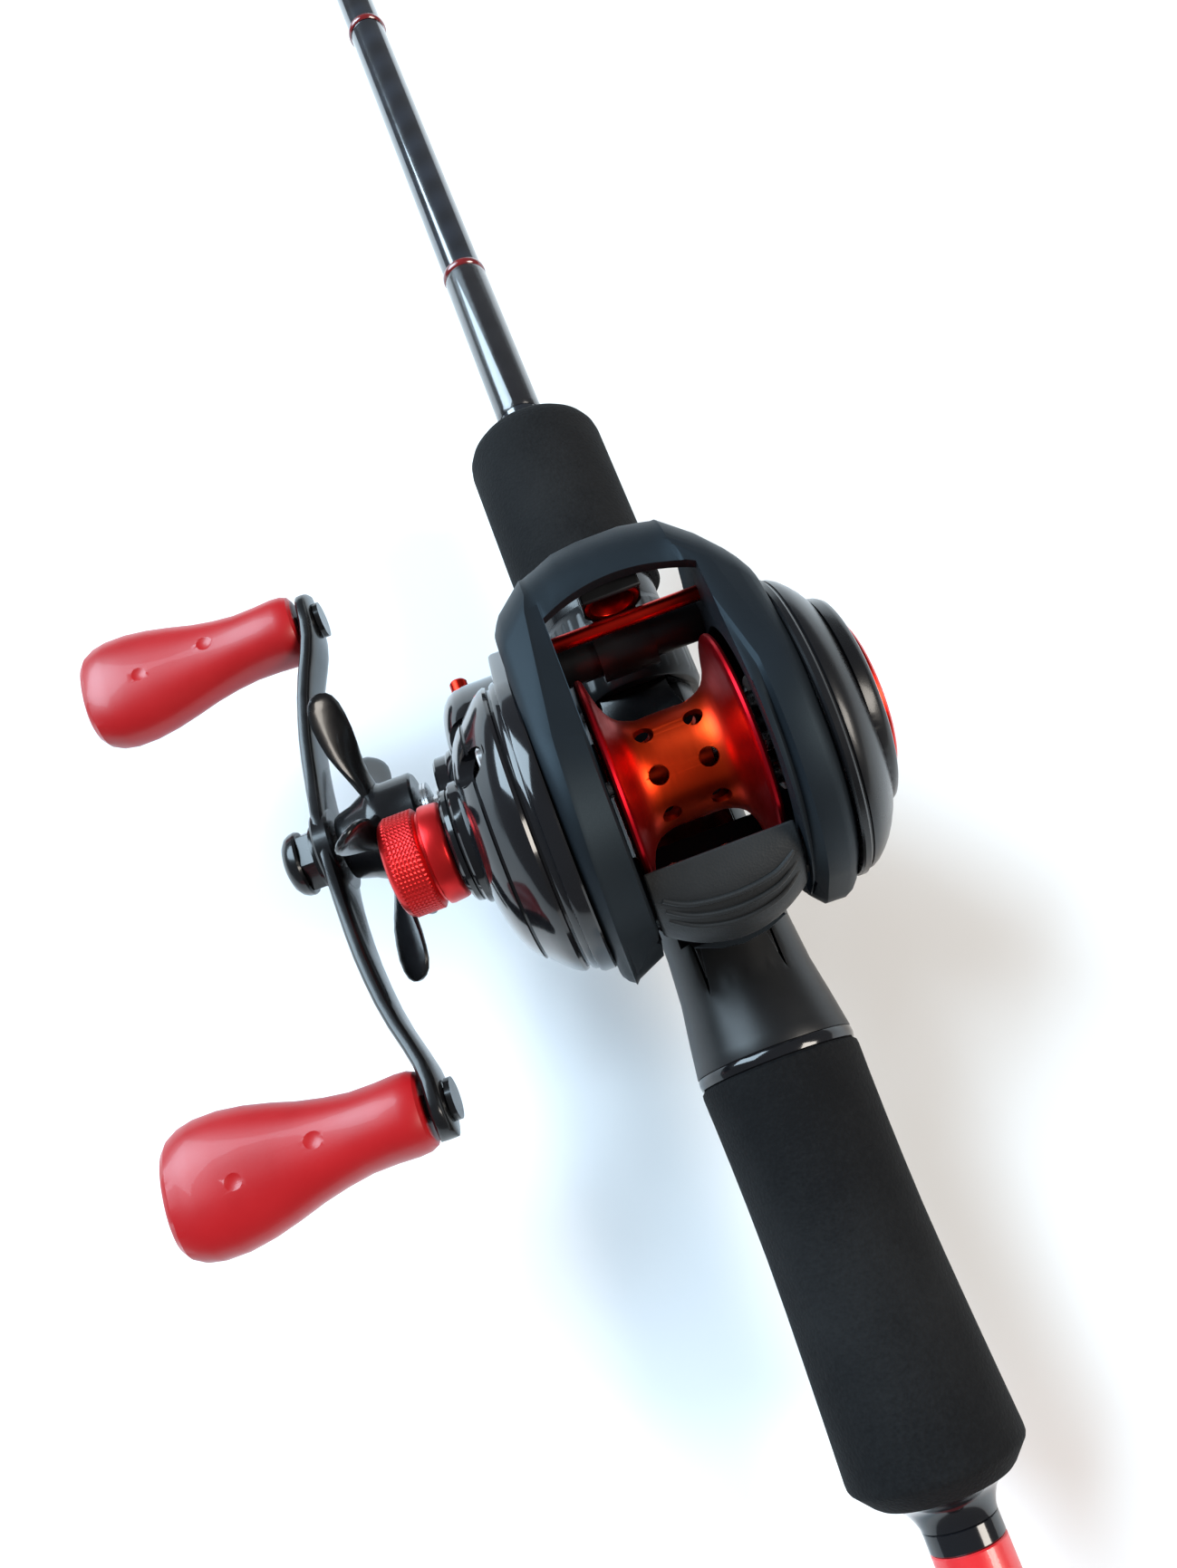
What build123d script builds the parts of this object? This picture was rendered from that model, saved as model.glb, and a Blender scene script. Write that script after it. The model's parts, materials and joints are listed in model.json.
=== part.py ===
from build123d import *
import math
import os

os.makedirs("parts", exist_ok=True)

# Baitcasting rod and low-profile reel.  Origin: centre of the butt face, on the rod axis.
# +Y runs along the rod to its tip, +Z is the side the reel sits on, +X is the palm side of the reel.
# All sizes are millimetres.

# ---------------------------------------------------------------- fits and clearances
glue_gap = 0.08          # bonded sleeve on the blank
run_gap = 0.10           # radial running fit of shafts and bearings
slide_gap = 0.20         # sliding and threaded fits, per side
free_gap = 0.40          # moving parts that must not touch

# ---------------------------------------------------------------- rod
rod_length = 1980.0      # butt face to the front of the tip ring
reel_y = 240.0           # spool axis ahead of the butt face
blank_butt_r = 4.9
blank_tip_r = 0.9
blank_wall_butt = 1.1
blank_wall_tip = 0.5
cap_length = 5.0
cap_spigot_length = 12.0
butt_grip_r = 13.0
butt_grip_length = 71.0
butt_check_length = 4.0
rear_grip_length = 61.0
rear_grip_r = 13.1
rear_grip_waist_r = 12.5
rear_grip_flare_r = 13.4
rear_grip_bevel = 3.2
rear_check_length = 4.5
sleeve_wall = 0.7        # of the sleeves, over the blank's butt radius
sleeve_black_length = 3.0
sleeve_red_length = 28.0
seat_check_length = 2.0

# ---------------------------------------------------------------- reel seat, measured from the spool axis
seat_rear = 41.5
seat_front = 22.0
seat_barrel_r = 10.4
seat_rear_r = 12.9
deck_z = 7.0             # flat that the reel foot lies on
thread_r = 9.0
thread_length = 28.0
thread_pitch = 2.0
thread_depth = 0.5
trigger_drop = 29.0
trigger_width = 7.0
hood_r = 12.6
hood_length = 17.5
hood_travel = 4.0
nut_wall = 2.2
nut_length = 11.5
nut_in_grip = 6.0
foregrip_r = 13.1
foregrip_front = 84.5
foregrip_round = 5.0
wrap_front = 127.8
second_trim_y = 205.7
wrap_thickness = 0.35
trim_length = 1.6

# ---------------------------------------------------------------- guides: distance from the tip, ring radius
guide_spots = [(1016.0, 3.8), (812.8, 2.8), (635.0, 2.3), (482.6, 2.0), (342.9, 1.8), (215.9, 1.8), (101.6, 1.8)]
guide_wire = 1.2
guide_ring_wall = 0.9
guide_clear = 3.4        # height of the ring's lower edge over the blank
guide_foot_length = 9.0
guide_foot_width = 2.0
guide_foot_thickness = 0.6
wrap_over_foot = 2.5
tip_tube_length = 12.0
tip_ring_r = 1.9

# ---------------------------------------------------------------- reel foot and frame
foot_length = 62.0
foot_width = 15.0
foot_tip_width = 12.0
foot_thickness = 2.2
foot_screw_r = 1.5
foot_screw_y = 10.5
foot_screw_x = 4.5
spool_floor_gap = 0.5    # under the spool's flanges, over the foot bridges
spool_x = 1.0            # middle of the spool
body_y = -0.5            # centre of the round part of the side plates
body_dz = -3.0           # from the spool axis, as are the heights below
body_rim = 7.5           # from the spool's flange to the plates' edge
nose_y = 24.0            # centre of the front of the side plates
nose_dz = 6.5
nose_r = 12.0
tail_y = -14.5           # centre of the low rear bulge of the side plates
tail_dz = -8.5
tail_r = 12.5
front_y = 36.7           # front of the frame on its middle line
front_left_y = 28.0      # at the handle-side face
front_right_y = 24.0     # at the palm-side face
cover_lip = 1.2          # of the side plate, under each cover
base_gap = 0.2           # frame above the foot's top face
plate_width = 7.5
web = 2.0
plate_edge_r = 1.2
rim = 2.2
lobe_wall = 1.6          # round the level-wind gear, under the handle-side plate
hood_wall = 2.4
hood_lip_dz = 13.0
window_r = 24.0
bridge_height = 1.1
bridge_y = 10.5
bridge_length = 9.0
front_bar_y = 27.0
front_bar_dz = -7.5
bar_r = 2.0
skirt_drop = 9.2         # upper edge of the rear skirt under the spool axis

# ---------------------------------------------------------------- spool
spool_width = 21.4
spool_side_gap = 0.8
flange_r = 17.0
flange_thickness = 1.5
arbor_r = 8.5
arbor_wall = 0.8
hub_r = 3.4
hub_web = 2.0
mouth_r = 9.4            # bore at the arbor's ends
flank = 5.2              # from a flange's face to the arbor's straight part
spool_hole_r = 1.5
spool_hole_rows = 8
spool_hole_pitch = 7.6
shaft_r = 1.25
pin_r = 0.7
bearing_r = 3.6
bearing_width = 2.5

# ---------------------------------------------------------------- gears
gear_module = 0.3
pinion_teeth = 15
drive_teeth = 96
wind_module = 0.5
crank_teeth = 24
idler_teeth = 16
idler_pin_r = 1.2
worm_teeth = 12
drive_dy = 11.0          # drive shaft from the spool axis
drive_gear_width = 3.0
wind_gear_width = 2.0
drive_shaft_r = 3.0
pinion_length = 13.0
pinion_hub_r = 3.2
pinion_neck_r = 2.1
pinion_hub_length = 3.0
pinion_neck_length = 1.8
pinion_collar_length = 1.0

# ---------------------------------------------------------------- clutch and thumb bar
clutch_travel = 2.0
thumb_travel = 4.5
thumb_tilt = 25.0        # degrees from vertical: the thumb bar goes down and back
thumb_arm = (-4.4, -1.4, -3.4, 1.6)     # its arms: y range from the flange's rear edge, z range from the spool axis
cam_v = (-17.6, -13.6)   # across the path
cam_w = (-9.5, 4.6)      # along the path
pad_w = -0.5             # upper edge of the yoke's pad, along the path
post_r = 1.2
spring_r = 2.2
yoke_thickness = 1.4
post_spots = [(-8.5, 3.0), (7.5, 5.0)]

# ---------------------------------------------------------------- line guide
worm_dz = -0.5
worm_r = 2.4
worm_journal_r = 2.0
guard_r = 3.8
guard_wall = 1.1
guard_slot = 2.6
rail_y = 21.4
rail_dz = 8.5
rail_r = 1.2
carriage_width = 9.0
carriage_x = 0.0
eye_y = 25.6
eye_dz = 10.0
eye_r = 4.3
eye_ring_wall = 1.0
eye_length = 3.0
eye_socket = 0.6
carriage_wall = 1.1

# ---------------------------------------------------------------- handle side
cover_wall = 1.6
cover_depth = 13.5
cover_base = 2.6         # thickness of its base plate
cover_step = 5.5         # first step of the dome, from the frame
worm_cover_room = 0.575  # round the level-wind gear, inside the cover
cover_step_in = 1.6      # how far the dome draws in at each step
cover_crown_in = 3.4
cover_crown = 3.5        # depth of the last step
gear_room = 2.345        # round the drive gear, inside its housing
cap_nose_r = 5.8
cap_nose_length = 7.0
cap_nose_flange = 2.7
cap_r = 7.8
cap_collar_r = 6.9
cap_length_x = 9.8
cap_flutes = 40
shaft_boss_r = 8.6
shaft_boss_length = 3.5
clutch_bearing_r = 7.0
sleeve_outer_r = 4.2
washer_r = 10.0
star_r = 25.0
star_arms = 5
star_hub_r = 8.0
star_hub_length = 5.5
star_thickness = 2.2
star_arm_width = 3.4     # half width at the hub
handle_length = 89.0     # between the knob spindles
handle_angle = -5.0      # degrees from +Y at rest, about the drive shaft
handle_sweep = 6.0
star_to_arm = 9.3        # cap's end to the handle arm's hub
arm_thickness = 3.0
arm_hub_r = 7.2
arm_end_r = 5.4
arm_width = 8.4
knob_length = 40.0
knob_base_r = 6.2
knob_waist_r = 5.7
knob_width = 21.0
knob_thickness = 12.4
spindle_r = 2.0
nut_across = 9.0
nut_height = 3.2

# ---------------------------------------------------------------- palm side
palm_depth = 9.0
palm_step = 2.6
palm_r = 23.6
palm_step_in = 3.4       # how far the dome draws in at each step
palm_crown_in = 6.2
palm_crown = 4.4         # depth of the last step
dial_r = 12.6
dial_height = 2.4
dial_turn_notches = 36
magnet_travel = 2.0
magnet_count = 6
magnet_r = 1.4
magnet_length = 1.5
carrier_r = 9.0
screw_r = 1.3
cover_screw_spots = [(-15.5, -13.5), (5.0, 15.0), (15.5, 5.0)]   # y and z from the spool axis

# ---------------------------------------------------------------- places worked out from the sizes above
foot_top = deck_z + foot_thickness
frame_base = foot_top + base_gap
spool_z = frame_base + bridge_height + spool_floor_gap + flange_r
body_z = spool_z + body_dz
body_r = flange_r + body_rim
nose_z = spool_z + nose_dz
tail_z = spool_z + tail_dz
hood_lip_z = spool_z + hood_lip_dz
front_bar_z = spool_z + front_bar_dz
worm_y = flange_r + free_gap + carriage_wall + guard_r
worm_z = spool_z + worm_dz
rail_z = spool_z + rail_dz
eye_z = spool_z + eye_dz
sleeve_r = blank_butt_r + sleeve_wall
nut_r = thread_r + slide_gap + nut_wall
drive_tip_r = gear_module * (drive_teeth / 2 + 0.85)
worm_tip_r = wind_module * (worm_teeth / 2 + 0.85)
gear_bulge_r = drive_tip_r + gear_room + cover_wall
worm_cover_r = worm_tip_r + worm_cover_room + cover_wall
inner_l = spool_x - spool_width / 2 - spool_side_gap
inner_r = spool_x + spool_width / 2 + spool_side_gap
outer_l = inner_l - plate_width
outer_r = inner_r + plate_width
centre_distance = gear_module * (pinion_teeth + drive_teeth) / 2
drive_y = drive_dy
drive_z = spool_z - math.sqrt(centre_distance ** 2 - drive_dy ** 2)
pinion_x = inner_l - web - 1.5
yoke_x = pinion_x - pinion_hub_length - slide_gap
crank_gear_x = inner_l - web - 1.8
drive_gear_x = pinion_x - pinion_hub_length - pinion_neck_length - pinion_collar_length - clutch_travel - slide_gap
cover_face = outer_l - cover_depth
nose_end = cover_face - cap_nose_length
cap_start = cover_face - cap_nose_flange - free_gap
cap_end = cap_start - cap_length_x
arm_x = cap_end - star_to_arm        # inner face of the handle arm's hub
blank_front = rod_length - 3.0
tip_y = rod_length - 2.0
rear_grip_front = reel_y - seat_rear - seat_check_length
rear_grip_back = rear_grip_front - rear_grip_length
rear_check_back = rear_grip_back - rear_check_length
sleeve_red_front = rear_check_back - sleeve_black_length
hood_back = seat_front + 0.6
nut_back = hood_back + hood_length + 0.1


# ---------------------------------------------------------------- helpers
def rod_x(radius, x0, x1, y=0.0, z=0.0):
    """Cylinder along X from x0 to x1."""
    start = Location((min(x0, x1), y, z), (0, 90, 0))
    return start * Cylinder(radius, abs(x1 - x0), align=(Align.CENTER, Align.CENTER, Align.MIN))


def tube_x(outer, inner, x0, x1, y=0.0, z=0.0):
    """Tube along X."""
    return rod_x(outer, x0, x1, y, z) - rod_x(inner, x0 - 1 if x0 < x1 else x0 + 1, x1 + 1 if x0 < x1 else x1 - 1, y, z)


def rod_y(radius, y0, y1, x=0.0, z=0.0):
    """Cylinder along Y from y0 to y1."""
    start = Location((x, y0, z), (-90, 0, 0))
    return start * Cylinder(radius, y1 - y0, align=(Align.CENTER, Align.CENTER, Align.MIN))


def block(x0, x1, y0, y1, z0, z1):
    """Box between two corners."""
    return Pos((x0 + x1) / 2, (y0 + y1) / 2, (z0 + z1) / 2) * Box(abs(x1 - x0), abs(y1 - y0), abs(z1 - z0))


def slab(shape, x0, x1):
    """A shape drawn in (y, z), made solid from x0 to x1."""
    low, high = min(x0, x1), max(x0, x1)
    return extrude(Plane.YZ.offset(low) * shape, amount=high - low)


def turned_x(points, y=0.0, z=0.0):
    """Turned part on an axis along X, from (x, radius) points."""
    return Pos(0, y, z) * revolve(make_face(Polyline(*points, close=True)), Axis.X)


def turned_y(points):
    """Turned part on the rod axis, from (y, radius) points."""
    flipped = [(radius, y) for y, radius in points]
    return revolve(make_face(Polyline(*flipped, close=True)), Axis.Y)


def disc(radius, y=0.0, z=0.0):
    """Round shape drawn in (y, z)."""
    return Pos(y, z) * Circle(radius)


def hull(*shapes):
    """Outline stretched round the given shapes, drawn in (y, z)."""
    edges = ShapeList()
    for shape in shapes:
        edges += shape.edges()
    return make_hull(edges)


def gear(teeth, module, x0, width, y, z, phase):
    """Spur gear along X, a tooth's middle at the angle phase (degrees from +Y towards +Z)."""
    pitch_r = module * teeth / 2
    tip = pitch_r + 0.85 * module
    root = pitch_r - 1.15 * module
    step = 2 * math.pi / teeth
    points = []
    for i in range(teeth):
        middle = math.radians(phase) + i * step
        for radius, share in ((root, -0.34), (pitch_r, -0.205), (tip, -0.10), (tip, 0.10), (pitch_r, 0.205), (root, 0.34)):
            angle = middle + share * step
            points.append((radius * math.cos(angle), radius * math.sin(angle)))
    return slab(Pos(y, z) * make_face(Polyline(*points, close=True)), x0, x0 - width)


def meshed_phase(phase_a, teeth_a, teeth_b, direction):
    """Phase of gear b that meshes with gear a lying in the opposite of direction, all in degrees."""
    offset = ((direction - phase_a) / (360 / teeth_a)) % 1.0
    return direction + 180 + (offset + 0.5) * 360 / teeth_b


def blank_r(y):
    """Outside radius of the tapered blank at a distance from the butt face."""
    share = (y - cap_length) / (blank_front - cap_length)
    return blank_butt_r + (blank_tip_r - blank_butt_r) * share


def on_blank(outer, gap=glue_gap, smooth=False):
    """Sleeve on the blank, from (y, radius) points of its outside, first to last."""
    y0, y1 = outer[0][0], outer[-1][0]
    bore = [(blank_r(y1) + gap, y1), (blank_r(y0) + gap, y0)]
    flipped = [(radius, y) for y, radius in outer]
    side = Spline(*flipped) if smooth else Polyline(*flipped)
    rest = Polyline(flipped[-1], bore[0], bore[1], flipped[0])
    return revolve(make_face(side.edges() + rest.edges()), Axis.Y)


def at_reel(part):
    """Move a piece drawn about the spool axis to its place on the rod."""
    return Pos(0, reel_y, 0) * part


def save(name, *solids):
    """Write one named piece, or a group of identical ones."""
    whole = Compound(children=list(solids)) if len(solids) > 1 else solids[0]
    export_step(whole, f"parts/{name}.step")


# ---------------------------------------------------------------- rod pieces
def blank():
    inner_butt = blank_butt_r - blank_wall_butt
    inner_tip = blank_tip_r - blank_wall_tip
    return turned_y([(cap_length, inner_butt), (cap_length, blank_butt_r), (blank_front, blank_tip_r),
                     (blank_front, inner_tip)])


def butt_cap():
    spigot = blank_butt_r - blank_wall_butt - slide_gap
    return turned_y([(0, 0), (0, butt_grip_r - 1.0), (1.0, butt_grip_r), (cap_length, butt_grip_r),
                     (cap_length, spigot), (cap_length + cap_spigot_length, spigot - 0.4),
                     (cap_length + cap_spigot_length, 0)])


def butt_grip():
    end = cap_length + butt_grip_length
    return on_blank([(cap_length, butt_grip_r), (end - 16, butt_grip_r), (end - 6, 11.0), (end, 8.0)])


def butt_grip_check():
    start = cap_length + butt_grip_length
    return on_blank([(start, 7.6), (start + 1.2, 7.6), (start + butt_check_length, sleeve_r)])


def rear_grip():
    front, back = rear_grip_front, rear_grip_back + rear_grip_bevel
    span = front - back
    outer = [(back, rear_grip_flare_r), (back + 0.28 * span, rear_grip_waist_r + 0.35),
             (back + 0.55 * span, rear_grip_waist_r), (back + 0.8 * span, rear_grip_waist_r + 0.2),
             (front, rear_grip_r)]
    body = on_blank(outer, smooth=True)
    bevel = on_blank([(rear_grip_back, rear_grip_flare_r - rear_grip_bevel), (back, rear_grip_flare_r)])
    return body + bevel


def rear_grip_check():
    return on_blank([(rear_check_back, sleeve_r), (rear_grip_back - 1.5, 7.0), (rear_grip_back, 9.6)])


def seat_check():
    front = rear_grip_front + seat_check_length
    return on_blank([(rear_grip_front, rear_grip_r - 0.3), (front, seat_rear_r)])


def black_sleeves():
    front = on_blank([(sleeve_red_front, sleeve_r), (rear_check_back, sleeve_r)])
    red_back = sleeve_red_front - sleeve_red_length
    back = on_blank([(cap_length + butt_grip_length + butt_check_length, sleeve_r), (red_back, sleeve_r)])
    return [front, back]


def red_sleeve():
    return on_blank([(sleeve_red_front - sleeve_red_length, sleeve_r), (sleeve_red_front, sleeve_r)])


def trigger():
    """Finger hook under the reel seat, drawn in (y, z)."""
    spots = [(-11.0, -8.0, 4.6), (-8.0, -15.5, 3.1), (-5.5, -22.0, 2.5), (-2.2, 2.2 - trigger_drop, 2.2)]
    hook = slab(disc(2, spots[0][0], spots[0][1]), -1, 1)
    for (y0, z0, r0), (y1, z1, r1) in zip(spots, spots[1:]):
        hook += slab(hull(disc(r0, y0, z0), disc(r1, y1, z1)), -trigger_width / 2, trigger_width / 2)
    return hook


def reel_seat():
    """Barrel with a flat deck, a fixed rear hood, a trigger and the thread for the lock nut."""
    barrel = turned_y([(-seat_rear, 0), (-seat_rear, seat_rear_r), (-seat_rear + 6, 12.1), (-seat_rear + 12, 11.2),
                       (-seat_front, seat_barrel_r + 0.3), (seat_front, seat_barrel_r), (seat_front, thread_r),
                       (seat_front + thread_length, thread_r), (seat_front + thread_length, 0)])
    barrel += trigger()
    grooves = int(thread_length / thread_pitch)
    for i in range(grooves):
        y = seat_front + (i + 0.25) * thread_pitch
        ring = turned_y([(y, thread_r - thread_depth), (y, thread_r + 1), (y + thread_pitch / 2, thread_r + 1),
                         (y + thread_pitch / 2, thread_r - thread_depth)])
        barrel -= ring
    wide = seat_barrel_r + 2
    barrel -= block(-wide, wide, -seat_front, seat_front + thread_length + 1, deck_z, wide + 2)
    tail = foot_length / 2 + free_gap
    half = foot_tip_width / 2 + free_gap
    barrel -= block(-half, half, -tail, -seat_front + 1, deck_z, foot_top + slide_gap)
    seat_back = reel_y - seat_rear
    bore = turned_y([(y, r) for y, r in ((seat_back - 1, 0), (seat_back - 1, blank_r(seat_back - 1) + glue_gap),
                     (reel_y + seat_front + thread_length + 1,
                      blank_r(reel_y + seat_front + thread_length + 1) + glue_gap),
                     (reel_y + seat_front + thread_length + 1, 0))])
    return at_reel(barrel) - bore


def sliding_hood():
    """Hood that traps the front of the reel foot."""
    back, front = hood_back, hood_back + hood_length
    shell = turned_y([(back, thread_r + slide_gap), (back, hood_r - 0.8), (back + 1.5, hood_r),
                      (front - 2, hood_r), (front, nut_r + 0.2), (front, thread_r + slide_gap)])
    half = foot_tip_width / 2 + free_gap
    tip = foot_length / 2 + free_gap
    shell -= block(-half, half, back - 1, tip, deck_z - 2, foot_top + slide_gap)
    return at_reel(shell)


def lock_nut():
    """Threaded collar moulded into the foregrip; it drives the sliding hood."""
    back, front = nut_back, nut_back + nut_length
    ring = turned_y([(back, thread_r + slide_gap), (back, nut_r), (front, nut_r), (front, thread_r + slide_gap)])
    return at_reel(ring)


def foregrip():
    back = nut_back + nut_length - nut_in_grip
    step = back + nut_in_grip + 0.1
    front = foregrip_front
    inner = blank_r(reel_y + step) + free_gap
    arc = []
    for i in range(7):
        angle = math.radians(15 * i)
        arc.append((front - foregrip_round + foregrip_round * math.sin(angle),
                    foregrip_r - foregrip_round + foregrip_round * math.cos(angle)))
    points = [(back, nut_r + glue_gap), (back, foregrip_r)] + arc + [(front, inner), (step, inner)]
    points += [(step, nut_r + glue_gap)]
    return at_reel(turned_y(points))


def blank_wraps():
    """Clear-coated windings in front of the foregrip."""
    back = reel_y + foregrip_front + hood_travel + 1.5
    front = reel_y + wrap_front
    return on_blank([(back, blank_r(back) + wrap_thickness), (front, blank_r(front) + wrap_thickness)])


def trim_rings():
    rings = []
    for start in (wrap_front, second_trim_y):
        back, front = reel_y + start, reel_y + start + trim_length
        rings.append(on_blank([(back, blank_r(back) + wrap_thickness + 0.1),
                               (front, blank_r(front) + wrap_thickness + 0.1)]))
    return rings


def guide_foot(y, side, room=0.0):
    """One foot of a guide, lying on the blank, grown by room all round."""
    y0, y1 = y + side * 3.0, y + side * (3.0 + guide_foot_length + room)
    top = blank_r(min(y0, y1)) + glue_gap
    half = guide_foot_width / 2 + room
    return block(-half, half, y0, y1, top - room, top + guide_foot_thickness + room)


def guide_z(y, ring_r):
    """Height of a guide ring's centre over the rod axis."""
    return blank_r(y) + guide_clear + ring_r


def guide_frame(y, ring_r):
    """Ring holder, two legs and two feet of one line guide."""
    z = guide_z(y, ring_r)
    outer = ring_r + guide_ring_wall + guide_wire
    holder = rod_y(outer, y - guide_wire / 2, y + guide_wire / 2, 0, z)
    half = guide_foot_width / 2
    frame = holder
    for side in (-1, 1):
        top = blank_r(y) + glue_gap
        leg = Polyline((y + side * 3.4, top), (y + side * 5.2, top), (y + side * 5.2, top + guide_foot_thickness),
                       (y + side * 0.5, z - ring_r - 0.5), (y - side * 0.3, z - ring_r - 0.5), close=True)
        frame += slab(make_face(leg), -half, half)
        frame += guide_foot(y, side)
    return frame - rod_y(ring_r + guide_ring_wall + glue_gap, y - 20, y + 20, 0, z)


def guide_ring(y, ring_r):
    """Hard ring that the line runs through."""
    z = guide_z(y, ring_r)
    width = guide_wire / 2 + 0.3
    ring = rod_y(ring_r + guide_ring_wall, y - width, y + width, 0, z)
    return ring - rod_y(ring_r, y - 5, y + 5, 0, z)


def guide_wraps(y, ring_r):
    """Thread windings over both feet of a guide."""
    wraps = []
    for side in (-1, 1):
        near, far = y + side * 5.6, y + side * (3.0 + guide_foot_length + wrap_over_foot)
        low, high = min(near, far), max(near, far)
        over = guide_foot_thickness + 0.3
        wrap = on_blank([(low, blank_r(low) + over), (high, blank_r(high) + over)])
        wraps.append(wrap - guide_foot(y, side, glue_gap))
    return wraps


def tip_top():
    """Tube and ring holder glued over the tip."""
    back = blank_front - tip_tube_length
    outer = blank_r(back) + 0.5
    tube = turned_y([(back, blank_r(back) + glue_gap), (back, outer), (blank_front + 1, outer),
                     (blank_front + 1, 0), (blank_front, 0), (blank_front, blank_r(blank_front) + glue_gap)])
    z = tip_ring_r + guide_ring_wall + outer
    holder = rod_y(tip_ring_r + guide_ring_wall + 0.8, tip_y - 1, tip_y + 1, 0, z)
    tube += holder
    leg = Polyline((back + 4, outer - 0.2), (tip_y, outer - 0.2), (tip_y, z - tip_ring_r - 0.2), close=True)
    tube += slab(make_face(leg), -0.6, 0.6)
    return tube - rod_y(tip_ring_r + guide_ring_wall + glue_gap, tip_y - 3, tip_y + 3, 0, z)


def tip_ring():
    outer = blank_r(blank_front - tip_tube_length) + 0.5
    z = tip_ring_r + guide_ring_wall + outer
    ring = rod_y(tip_ring_r + guide_ring_wall, tip_y - 1.6, tip_y + 2, 0, z)
    return ring - rod_y(tip_ring_r, tip_y - 5, tip_y + 5, 0, z)


# ---------------------------------------------------------------- reel frame
def side_outline(inset=0.0):
    """Outline of a side plate: round body, nose in front and low rear bulge, flat underneath."""
    shape = hull(disc(body_r - inset, body_y, body_z), disc(nose_r - inset, nose_y, nose_z),
                 disc(tail_r - inset, tail_y, tail_z))
    low = frame_base + inset
    keep = Pos(body_y + 10, low + 40) * Rectangle(120, 80)
    return shape & keep


def side_plate(x_in, x_out):
    """Solid plate with rounded edges."""
    plate = slab(side_outline(), x_in, x_out)
    return fillet(plate.edges().filter_by(Plane.YZ), plate_edge_r)


def front_plan():
    """Plan of the frame, drawn in (x, y): the front is rounded off to both sides."""
    front = Spline((outer_l, front_left_y), (inner_l, front_y - 2.6), (spool_x, front_y), (inner_r - 2.0, front_y - 1.9),
                   (inner_r + 3.2, front_y - 7.1), (outer_r, front_right_y))
    back = Polyline((outer_r, front_right_y), (outer_r, -60), (outer_l, -60), (outer_l, front_left_y))
    return make_face(front.edges() + back.edges())


def clutch_slot(x0, x1):
    """Slot in a web for the thumb bar's arm over its whole travel."""
    y0, y1, z0, z1 = thumb_arm
    size = Rectangle(y1 - y0 + 2 * free_gap, z1 - z0 + 2 * free_gap)
    lean = math.radians(thumb_tilt)
    rest = Pos((y0 + y1) / 2 - flange_r, spool_z + (z0 + z1) / 2) * size
    pressed = Pos(-thumb_travel * math.sin(lean), -thumb_travel * math.cos(lean)) * rest
    return slab(hull(rest, pressed), x0, x1)


def frame():
    """Side plates joined by the front hood, the foot bridges and two bars."""
    body = side_plate(inner_l, outer_l) + side_plate(inner_r, outer_r)
    shell = slab(side_outline() - side_outline(hood_wall), inner_l - 1, inner_r + 1)
    shell = shell & block(outer_l, outer_r, 0, 60, hood_lip_z, 80)
    window = Pos(spool_x, 0, 30) * Cylinder(window_r, 60, align=(Align.CENTER, Align.CENTER, Align.MIN))
    body += shell - (window & block(inner_l, inner_r, -60, 60, 0, 90))
    body &= extrude(front_plan(), amount=80)
    crank_tip_r = wind_module * (crank_teeth / 2 + 0.85)
    body += slab(disc(crank_tip_r + free_gap + lobe_wall, drive_y, drive_z), inner_l, outer_l)
    gear_pocket = side_outline(rim) & cover_outline(cover_lip)
    body -= slab(gear_pocket + disc(crank_tip_r + free_gap, drive_y, drive_z), inner_l - web, outer_l - 1)
    body -= slab(side_outline(rim) & palm_outline(cover_lip), inner_r + web, outer_r + 1)
    half = bridge_length / 2
    for side in (-1, 1):
        y = side * bridge_y
        body += block(inner_l - 1, inner_r + 1, y - half, y + half, frame_base, frame_base + bridge_height)
    body += rod_x(bar_r, inner_l - 1, inner_r + 1, front_bar_y, front_bar_z)
    skirt = slab(side_outline() - side_outline(rim), inner_l - 1, inner_r + 1)
    body += skirt & block(outer_l, outer_r, -40, -10, 0, spool_z - skirt_drop)
    body -= rod_y(seat_barrel_r + 1.6, -40, free_gap - seat_front)
    body -= rod_x(pinion_hub_r + free_gap, inner_l + 1, inner_l - web - 1, 0, spool_z)
    body -= rod_x(flange_r + free_gap, inner_r - 1, inner_r + web + 1, 0, spool_z)
    boss = rod_x(drive_shaft_r + run_gap + 2.4, inner_l, crank_gear_x + 0.3, drive_y, drive_z)
    body += boss & slab(side_outline(0.5), outer_l, inner_l)
    body -= rod_x(drive_shaft_r + 1.2, inner_l - 0.5, crank_gear_x - 1, drive_y, drive_z)
    for x0, x1 in ((inner_l, inner_l - web), (inner_r, inner_r + web)):
        sign = 1 if x1 > x0 else -1
        body -= rod_x(worm_journal_r + run_gap, x0 - sign, x1 + sign, worm_y, worm_z)
        body -= rod_x(rail_r, x0 - sign, x1 + sign, rail_y, rail_z)
        body -= clutch_slot(x0 - sign, x1 + sign)
    for y, dz in cover_screw_spots:
        body += rod_x(screw_r + 1.3, inner_l - web + 0.5, outer_l, y, spool_z + dz)
        body -= rod_x(screw_r + glue_gap, inner_l - web, outer_l - 1, y, spool_z + dz)
    body -= rod_x(idler_pin_r + glue_gap, inner_l + 1, inner_l - web - 1, idler_y, idler_z)
    for y, dz in post_spots:
        body += rod_x(post_r, inner_l - web + 0.5, cover_face + cover_wall + 1.0, y, spool_z + dz)
    for y in (-foot_screw_y, foot_screw_y):
        for x in (-foot_screw_x, foot_screw_x):
            body -= Pos(x, y, foot_top) * Cylinder(foot_screw_r, 6)
    return body


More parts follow.
